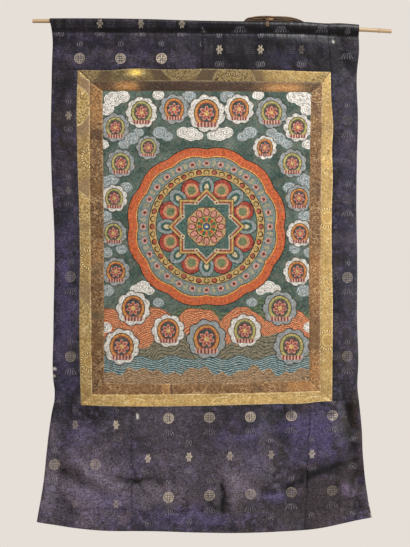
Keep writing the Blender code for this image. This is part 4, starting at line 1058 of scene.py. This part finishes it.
silk, lining = makeSilk(), makeLining("plainLining", "3a3238", "7a6c66")
gold, copper = makeBrocade("goldBrocade", goldSizes, 0.3), makeBrocade("copperBrocade", copperSizes, 0.2)
brocadeBack = makeLining("brocadeBack", "6a4c2c", "b89a68")
rawCotton = makeLining("rawCotton", "b9a98a", "e0d6c0")
bamboo, ribbon = makeBamboo(), makeRibbon()
print("materials made")


def silkPiece(node, sides, origin, tall=silkSizes["repeat"][1], slope=0.0, sleeve=False):
    # A silk panel: its folds, its sleeve if it has one, and its thread coordinates in repeats
    flat = patch(sides, cloth["silkGrain"] * mm)
    points, above = onCloth(flat), None
    x, z = flat[..., 0], flat[..., 1]
    wide = silkSizes["repeat"][0]
    across, up = x / mm - origin[0], z / mm - origin[1]
    v = up - slope * across * (1 - up / silkSizes["slopeGrows"])
    if sleeve:
        rows, rise = sleeveRows(points[0])
        points = np.concatenate([rows, points])
        x = np.concatenate([rows[..., 0], x])
        v = np.concatenate([v[:1] + rise / mm + silkSizes["sleeveShift"], v])
        above = np.concatenate([rise, z - z[:1]])
        z = np.concatenate([z[:1] + rise, z])
    left, bare = wornAway(x, z)
    left[:-len(flat)] *= 0.5
    colouring = colourAndPaintedLight(x, z, above)
    # Painted shade along the seams, where the edge is rolled under
    seamShade = 0.22 * np.exp(-(np.minimum.reduce(sideGap(flat)) / mm / 2.2) ** 2)
    colouring[-len(flat):] *= 1 - seamShade[..., None]
    uv = np.stack([(x / mm - origin[0]) / wide, v / tall], axis=-1)
    values = {"colouring": colouring, "left": left, "bare": bare}
    clothPiece(node, points, (silk, lining), uv, values)


def brocadeStrip(name, side, sides, material, sizes):
    # A strip between four seams, with its colouring and painted light, its plain satin and its way to the
    # nearest roundel
    flat = patch(sides, cloth["brocadeGrain"] * mm)
    x, z = flat[..., 0], flat[..., 1]
    colouring, plain = tonedColour(x, z, sizes)
    plain = np.maximum(plain, sizes["smooth"][side])
    # A pale thread shows along the two long seams where the edge is rolled
    gaps = sideGap(flat)
    seam = np.minimum(*(gaps[:2] if side in ("top", "bottom") else gaps[2:])) / mm
    thread = np.exp(-(seam / 1.3) ** 2) * np.clip(0.45 + 0.6 * softNoise(x, z, 0.02, 37), 0, 0.8)
    colouring = tonedOver(colouring, sizes["light"], thread)
    # Painted light: each strip's brightness by its side, and painted glare where the lamp shines, brighter
    # and of one tone
    paintedLight = np.full_like(x, sizes["paintedStripLight"][side])
    for glareX, glareZ, wide, tall, bright, tone in sizes["glares"] if side == "top" else ():
        glare = np.exp(-((x / mm - glareX) / wide) ** 2 - ((z / mm - glareZ) / tall) ** 2)
        paintedLight += (bright - paintedLight) * glare
        colouring = tonedOver(colouring, tone, 0.8 * glare)
    values = {"colouring": colouring, "plain": plain, "paintedLight": paintedLight,
              "round": nearestRound(x, z, sizes["rounds"]), "rim": rimDistance(x, z, sizes["rims"])}
    clothPiece(name, onCloth(flat), (material, brocadeBack), values=values)


# The silk panels: each with its top, low, left and right seam and the middle of one medallion
ends = [float(edge(stitchLine(sleeveSizes["stitches"][end][0] * mm)))
        for edge, end in ((leftEdge, 0), (rightEdge, -1))]
stops = [ends[0], topSeam, sideSeam, ends[1]]
topRows = [along(stitchLine, start, stop) for start, stop in zip(stops, stops[1:])]
lowLeft = join(topShoulder, along(frameTop, outer["topLeft"][0], topSeam))
lowMiddle = along(frameTop, topSeam, outer["topRight"][0])
middleSeam = straight(topRows[0][-1], lowLeft[-1])
stripSeam = straight(topRows[1][-1], lowMiddle[-1])
outside = down(leftEdge, topRows[0][0, 1], lowLeft[0, 1])
silkPiece("top_panel_left", (topRows[0], lowLeft, outside, middleSeam), (-219.6, -83), sleeve=True)
silkPiece("top_panel_right", (topRows[1], lowMiddle, middleSeam, stripSeam), (-31.2, -157), sleeve=True)
inside, outside = join(stripSeam, outerSeams["right"]), down(rightEdge, topRows[2][-1, 1], shoulder)
silkPiece("side_strip_right", (topRows[2], hipRight, inside, outside), (325, -609), tall=189, sleeve=True)
inside, outside = down(frameLeft, outer["topLeft"][1], splice), down(leftEdge, topShoulder[0, 1], splice)
silkPiece("side_strip_left_upper", (topShoulder, spliceSeam, outside, inside), (-393.6, -130), tall=180)
inside, outside = down(frameLeft, splice, outer["lowLeft"][1]), down(leftEdge, splice, shoulder)
silkPiece("side_strip_left_lower", (spliceSeam, hipLeft, outside, inside), (-340, -607), tall=192)
print("top panels and side strips made")

hemStart, hemEnd = (float(hemLine(cloth["hem"][end][0] * mm)) for end in (0, -1))
hemRight, hemRightLow = (x * mm for x in cloth["hemSeamRight"])
seams = (down(leftEdge, shoulder, hemStart), straight(onLevel(frameLow, hemLeft), onLevel(hemLine, hemLeft)),
         straight(onLevel(frameLow, hemRight), onLevel(hemLine, hemRightLow)),
         down(rightEdge, shoulder, hemEnd))
tops = (join(hipLeft, along(frameLow, outer["lowLeft"][0], hemLeft)), along(frameLow, hemLeft, hemRight),
        join(along(frameLow, hemRight, outer["lowRight"][0]), hipRight))
for place, top, left, right in zip(("left", "middle", "right"), tops, seams, seams[1:]):
    low = along(hemLine, left[-1, 0], right[-1, 0])
    origin, slope = ((-279.6, -1058), 0.0) if place == "left" else ((-104.4, -947), 0.018)
    silkPiece("hem_panel_" + place, (top, low, left, right), origin, slope=slope)
print("hem panels made")

rings = (
    ("gold", gold, goldSizes, outer, outerSeams, inner, innerSeams, "top_panel_left"),
    ("copper", copper, copperSizes, inner, innerSeams, canvas, canvasSeams, "gold_strip_top"),
)
for name, material, sizes, far, farSeams, near, nearSeams, hangsFrom in rings:
    mitre = {corner: straight(far[corner], near[corner]) for corner in corners}
    strips = {
        "top": (farSeams["top"], nearSeams["top"], mitre["topLeft"], mitre["topRight"]),
        "bottom": (nearSeams["low"], farSeams["low"], mitre["lowLeft"][::-1], mitre["lowRight"][::-1]),
        "left": (mitre["topLeft"], mitre["lowLeft"], farSeams["left"], nearSeams["left"]),
        "right": (mitre["topRight"][::-1], mitre["lowRight"][::-1], nearSeams["right"], farSeams["right"]),
    }
    for side, lines in strips.items():
        brocadeStrip(name + "_strip_" + side, side, lines, material, sizes)
print("brocade frames made")

flat = patch([canvasSeams[side] for side in ("top", "low", "left", "right")], cloth["canvasGrain"] * mm)
x, z = flat[..., 0], flat[..., 1]
clothPiece("painted_canvas", onCloth(flat), (makePaint(), rawCotton),
           values={**paintLayers(x, z), **lotusPlaces(x, z)})
print("painted canvas made")


def closedForm(name, loops, material, node):
    # A closed skin from rings of points, its ends drawn together
    first, last = (end.mean(axis=1, keepdims=True) + 0 * end for end in (loops[:1], loops[-1:]))
    mesh = gridMesh(name, np.concatenate([first, loops, last]), closed=True)
    cage = bmesh.new()
    cage.from_mesh(mesh)
    bmesh.ops.remove_doubles(cage, verts=cage.verts, dist=1e-6)
    bmesh.ops.recalc_face_normals(cage, faces=cage.faces)
    cage.to_mesh(mesh)
    cage.free()
    mesh.shade_smooth()
    mesh.set_sharp_from_angle(angle=math.radians(50))
    addPiece(name, mesh, (material,), node)


# The rod: a tube along its slope and bow, with one swollen joint, cut square at both ends
halfRod = rodSizes["length"] / 2 * mm
ringAt = rodSizes["ring"]
ringEnds = ringAt - rodSizes["ringReach"], ringAt + rodSizes["ringReach"]
stations = np.unique(np.concatenate([np.linspace(-halfRod, halfRod, rodSizes["stations"]),
                                     np.linspace(*ringEnds, rodSizes["ringStations"]) * mm]))[:, None]
fromRing = (stations / mm - ringAt) / rodSizes["ringHalf"]
swell = 1 + (rodSizes["ringSwell"] - 1) * np.exp(-fromRing ** 2 * 2.2)
swell -= 0.03 * np.exp(-(fromRing - 1.2) ** 2 * 8)
turn = np.arange(rodSizes["around"]) * 2 * math.pi / rodSizes["around"] + 0 * stations
uneven = 1 + 0.012 * softNoise(stations + 0 * turn, 0.02 * np.cos(turn), 0.03, 41)
size = rodSizes["radius"] * mm * swell * uneven
tube = np.stack([stations + 0 * size, size * np.cos(turn), rodHeight(stations) + size * np.sin(turn)],
                axis=-1)
closedForm("bamboo_rod", tube, bamboo, "rod")
print("rod made")

# The ribbon: bunched behind the sleeve's top edge, knotted on it, one end in front
tie = {
    "top": [(74, 4), (80, 12), (97, 18), (116, 20.5), (136, 21.5), (155, 20.5), (174, 19.3),
            (193, 16.8), (212, 11.5), (226, 4)],
    "depth": 6.2, "endShare": 0.45, "tuck": 8.5, "gathers": 5,
    "knotX": 138, "knotSize": (21, 8.2, 8.6), "knotFolds": 4, "knotY": 1.0,
    "endWidth": 7.5, "endX": 132.5, "endThickness": 1.0, "endArc": (20, 118),
    "bandGrid": (150, 90), "knotGrid": (60, 72), "endGrid": (40, 25),
}
tieTop = curveThrough(tie["top"])
# The band is a strip in lengthwise pleats: it goes up in a zigzag that drifts along its length
share = np.linspace(0, 1, tie["bandGrid"][0])[:, None]
s = np.linspace(0, 1, tie["bandGrid"][1])[None, :]
tieLeft, tieRight = tie["top"][0][0], tie["top"][-1][0]
x = (tieLeft + (tieRight - tieLeft) * (1 - np.cos(math.pi * share)) / 2) * mm
high = tieTop(x)
low = np.minimum(rodHeight(x) + sleeveRise(x) - tie["tuck"] * mm, high - tie["depth"] * mm)
deep = tie["depth"] / 2 * mm * (tie["endShare"] + (1 - tie["endShare"]) * np.sqrt(np.sin(math.pi * share)))
front = (rodSizes["radius"] + sleeveSizes["ease"] + cloth["thickness"] + 2 * cloth["seamGap"]) * mm
swing = np.sin(2 * math.pi * tie["gathers"] * s + 2.5 * share + 0.8 * np.sin(11 * share + 4 * s))
rounded = np.sqrt(np.clip(1 - (2 * s - 1) ** 2, 0.04, 1))
y = front + deep * (1 + 0.92 * rounded * swing)
z = low + (high - low) * (s + 0.02 * np.sin(17 * share + 9 * s))
clothPiece("tie_band", np.stack([x + 0 * y, y, z], axis=-1)[:, ::-1], (ribbon,),
           thickness=0.35)

# The knot: a long ball of crumpled turns, seated on the sleeve
rows, columns = tie["knotGrid"]
u = np.linspace(0.02, math.pi - 0.02, rows)[:, None]
around = (np.arange(columns) * 2 * math.pi / columns)[None, :]
lengthwise = -np.cos(u) / 2 + 0 * around
crumple = 1 - 0.1 * (1 - np.cos(tie["knotFolds"] * around + 5 * lengthwise)) / 2
crumple = crumple - 0.07 * (1 + np.cos(9 * around - 14 * lengthwise)) / 2
outwards = np.sin(u) / 2 * crumple
knotX = tie["knotX"] * mm
seat = rodHeight(knotX) + float(sleeveRise(knotX)) + (cloth["seamGap"] + tie["knotSize"][2] / 2) * mm
long, deep, tall = (size * mm for size in tie["knotSize"])
knot = np.stack([knotX + lengthwise * long, tie["knotY"] * mm + outwards * np.cos(around) * deep,
                 seat + outwards * np.sin(around) * tall], axis=-1)
closedForm("ribbon_knot", knot, ribbon, "tie_knot")

# The short end: over the sleeve's top, then straight down
rows, columns = tie["endGrid"]
angles = np.radians(np.linspace(*tie["endArc"], rows))[:, None]
x = (tie["endX"] + tie["endWidth"] * np.linspace(-0.5, 0.5, columns)[None, :]) * mm
lift = (cloth["thickness"] / 2 + cloth["seamGap"] + tie["endThickness"] / 2) * mm
reach = (rodSizes["radius"] + sleeveSizes["ease"] + cloth["thickness"] / 2) * mm + lift
rise = sleeveRise(x) - cloth["thickness"] / 2 * mm + lift
past = np.clip(angles - math.pi / 2, 0, None)
y = np.where(past > 0, -reach * (1 - 0.1 * past), -reach * np.sin(angles)) + 0 * x
z = np.where(past > 0, rodHeight(x) - reach * past, rodHeight(x) + rise * np.cos(angles))
y = y - 0.68 * mm * (1 + np.cos((x / mm - tie["endX"]) * 2 * math.pi / 3.1 + 2 * angles))
end = np.stack([x + 0 * y, y, z], axis=-1)
clothPiece("tie_end", end, (ribbon,), thickness=0.4)
print("ribbon made")

# Floor, soft light and the camera at the photograph's angle, in metres but for the photograph's
# frame, which is in millimetres: its middle and its height at the cloth, and the lens
studio = {
    "floorRadius": 1.15, "floorAt": (-0.0156, 0.1, -1.75), "floorTones": ("dcd6cd", "e4dfd7"),
    "backdrop": "e6dfd8", "backdropLights": 0.5,
    # Lamps: size, power, place and target
    "lamps": {"keyFromAbove": (0.7, 62, (0.8, -1.5, 1.5), (0, 0, -0.6)),
              "fillFromRight": (1.4, 22, (1.6, -2.0, -0.9), (0, 0, -0.8))},
    "middleX": -16.8, "middleZ": -599.5, "tall": 1312.8, "lens": 85, "sensor": 36,
}
floorMesh = bpy.data.meshes.new("studioFloor")
cage = bmesh.new()
bmesh.ops.create_circle(cage, cap_ends=True, segments=96, radius=studio["floorRadius"])
cage.to_mesh(floorMesh)
cage.free()
floor = bpy.data.objects.new("studioFloor", floorMesh)
floor.location = studio["floorAt"]
bpy.context.scene.collection.objects.link(floor)
paleFloor, add = newMaterial("paleFloor", 0.8)
grain = add("TexNoise", Vector=add("TexCoord", output="Object"), Scale=3.0)
shade(paleFloor, laidOver(add, (*hexColour(studio["floorTones"][0]), 1), (grain, studio["floorTones"][1])))
floorMesh.materials.append(paleFloor)

world = bpy.data.worlds.new("paleStudio")
bpy.context.scene.world = world
world.use_nodes = True
background = world.node_tree.nodes["Background"]
background.inputs["Color"].default_value = (*hexColour(studio["backdrop"]), 1)
# The backdrop looks pale, but it lights the cloth less than that, so that the folds show
seen = addNode(world.node_tree, "LightPath")
strength = addNode(world.node_tree, "MapRange", seen, 0, 1, studio["backdropLights"], 1.0)
world.node_tree.links.new(strength, background.inputs["Strength"])

for name, (size, power, place, target) in studio["lamps"].items():
    lamp = bpy.data.lights.new(name, "AREA")
    lamp.shape = "DISK"
    lamp.size = size
    lamp.energy = power
    thing = bpy.data.objects.new(name, lamp)
    thing.location = place
    thing.rotation_euler = (Vector(target) - Vector(place)).to_track_quat("-Z", "Y").to_euler()
    bpy.context.scene.collection.objects.link(thing)

camera = bpy.data.cameras.new("photoCamera")
camera.lens = studio["lens"]
camera.sensor_width = studio["sensor"]
viewer = bpy.data.objects.new("photoCamera", camera)
away = studio["tall"] * mm * studio["lens"] / studio["sensor"]
viewer.location = (studio["middleX"] * mm, -away, studio["middleZ"] * mm)
viewer.rotation_euler = (math.pi / 2, 0, 0)
bpy.context.scene.collection.objects.link(viewer)
bpy.context.scene.camera = viewer
bpy.context.scene.view_settings.view_transform = "Standard"

print("scene ready")
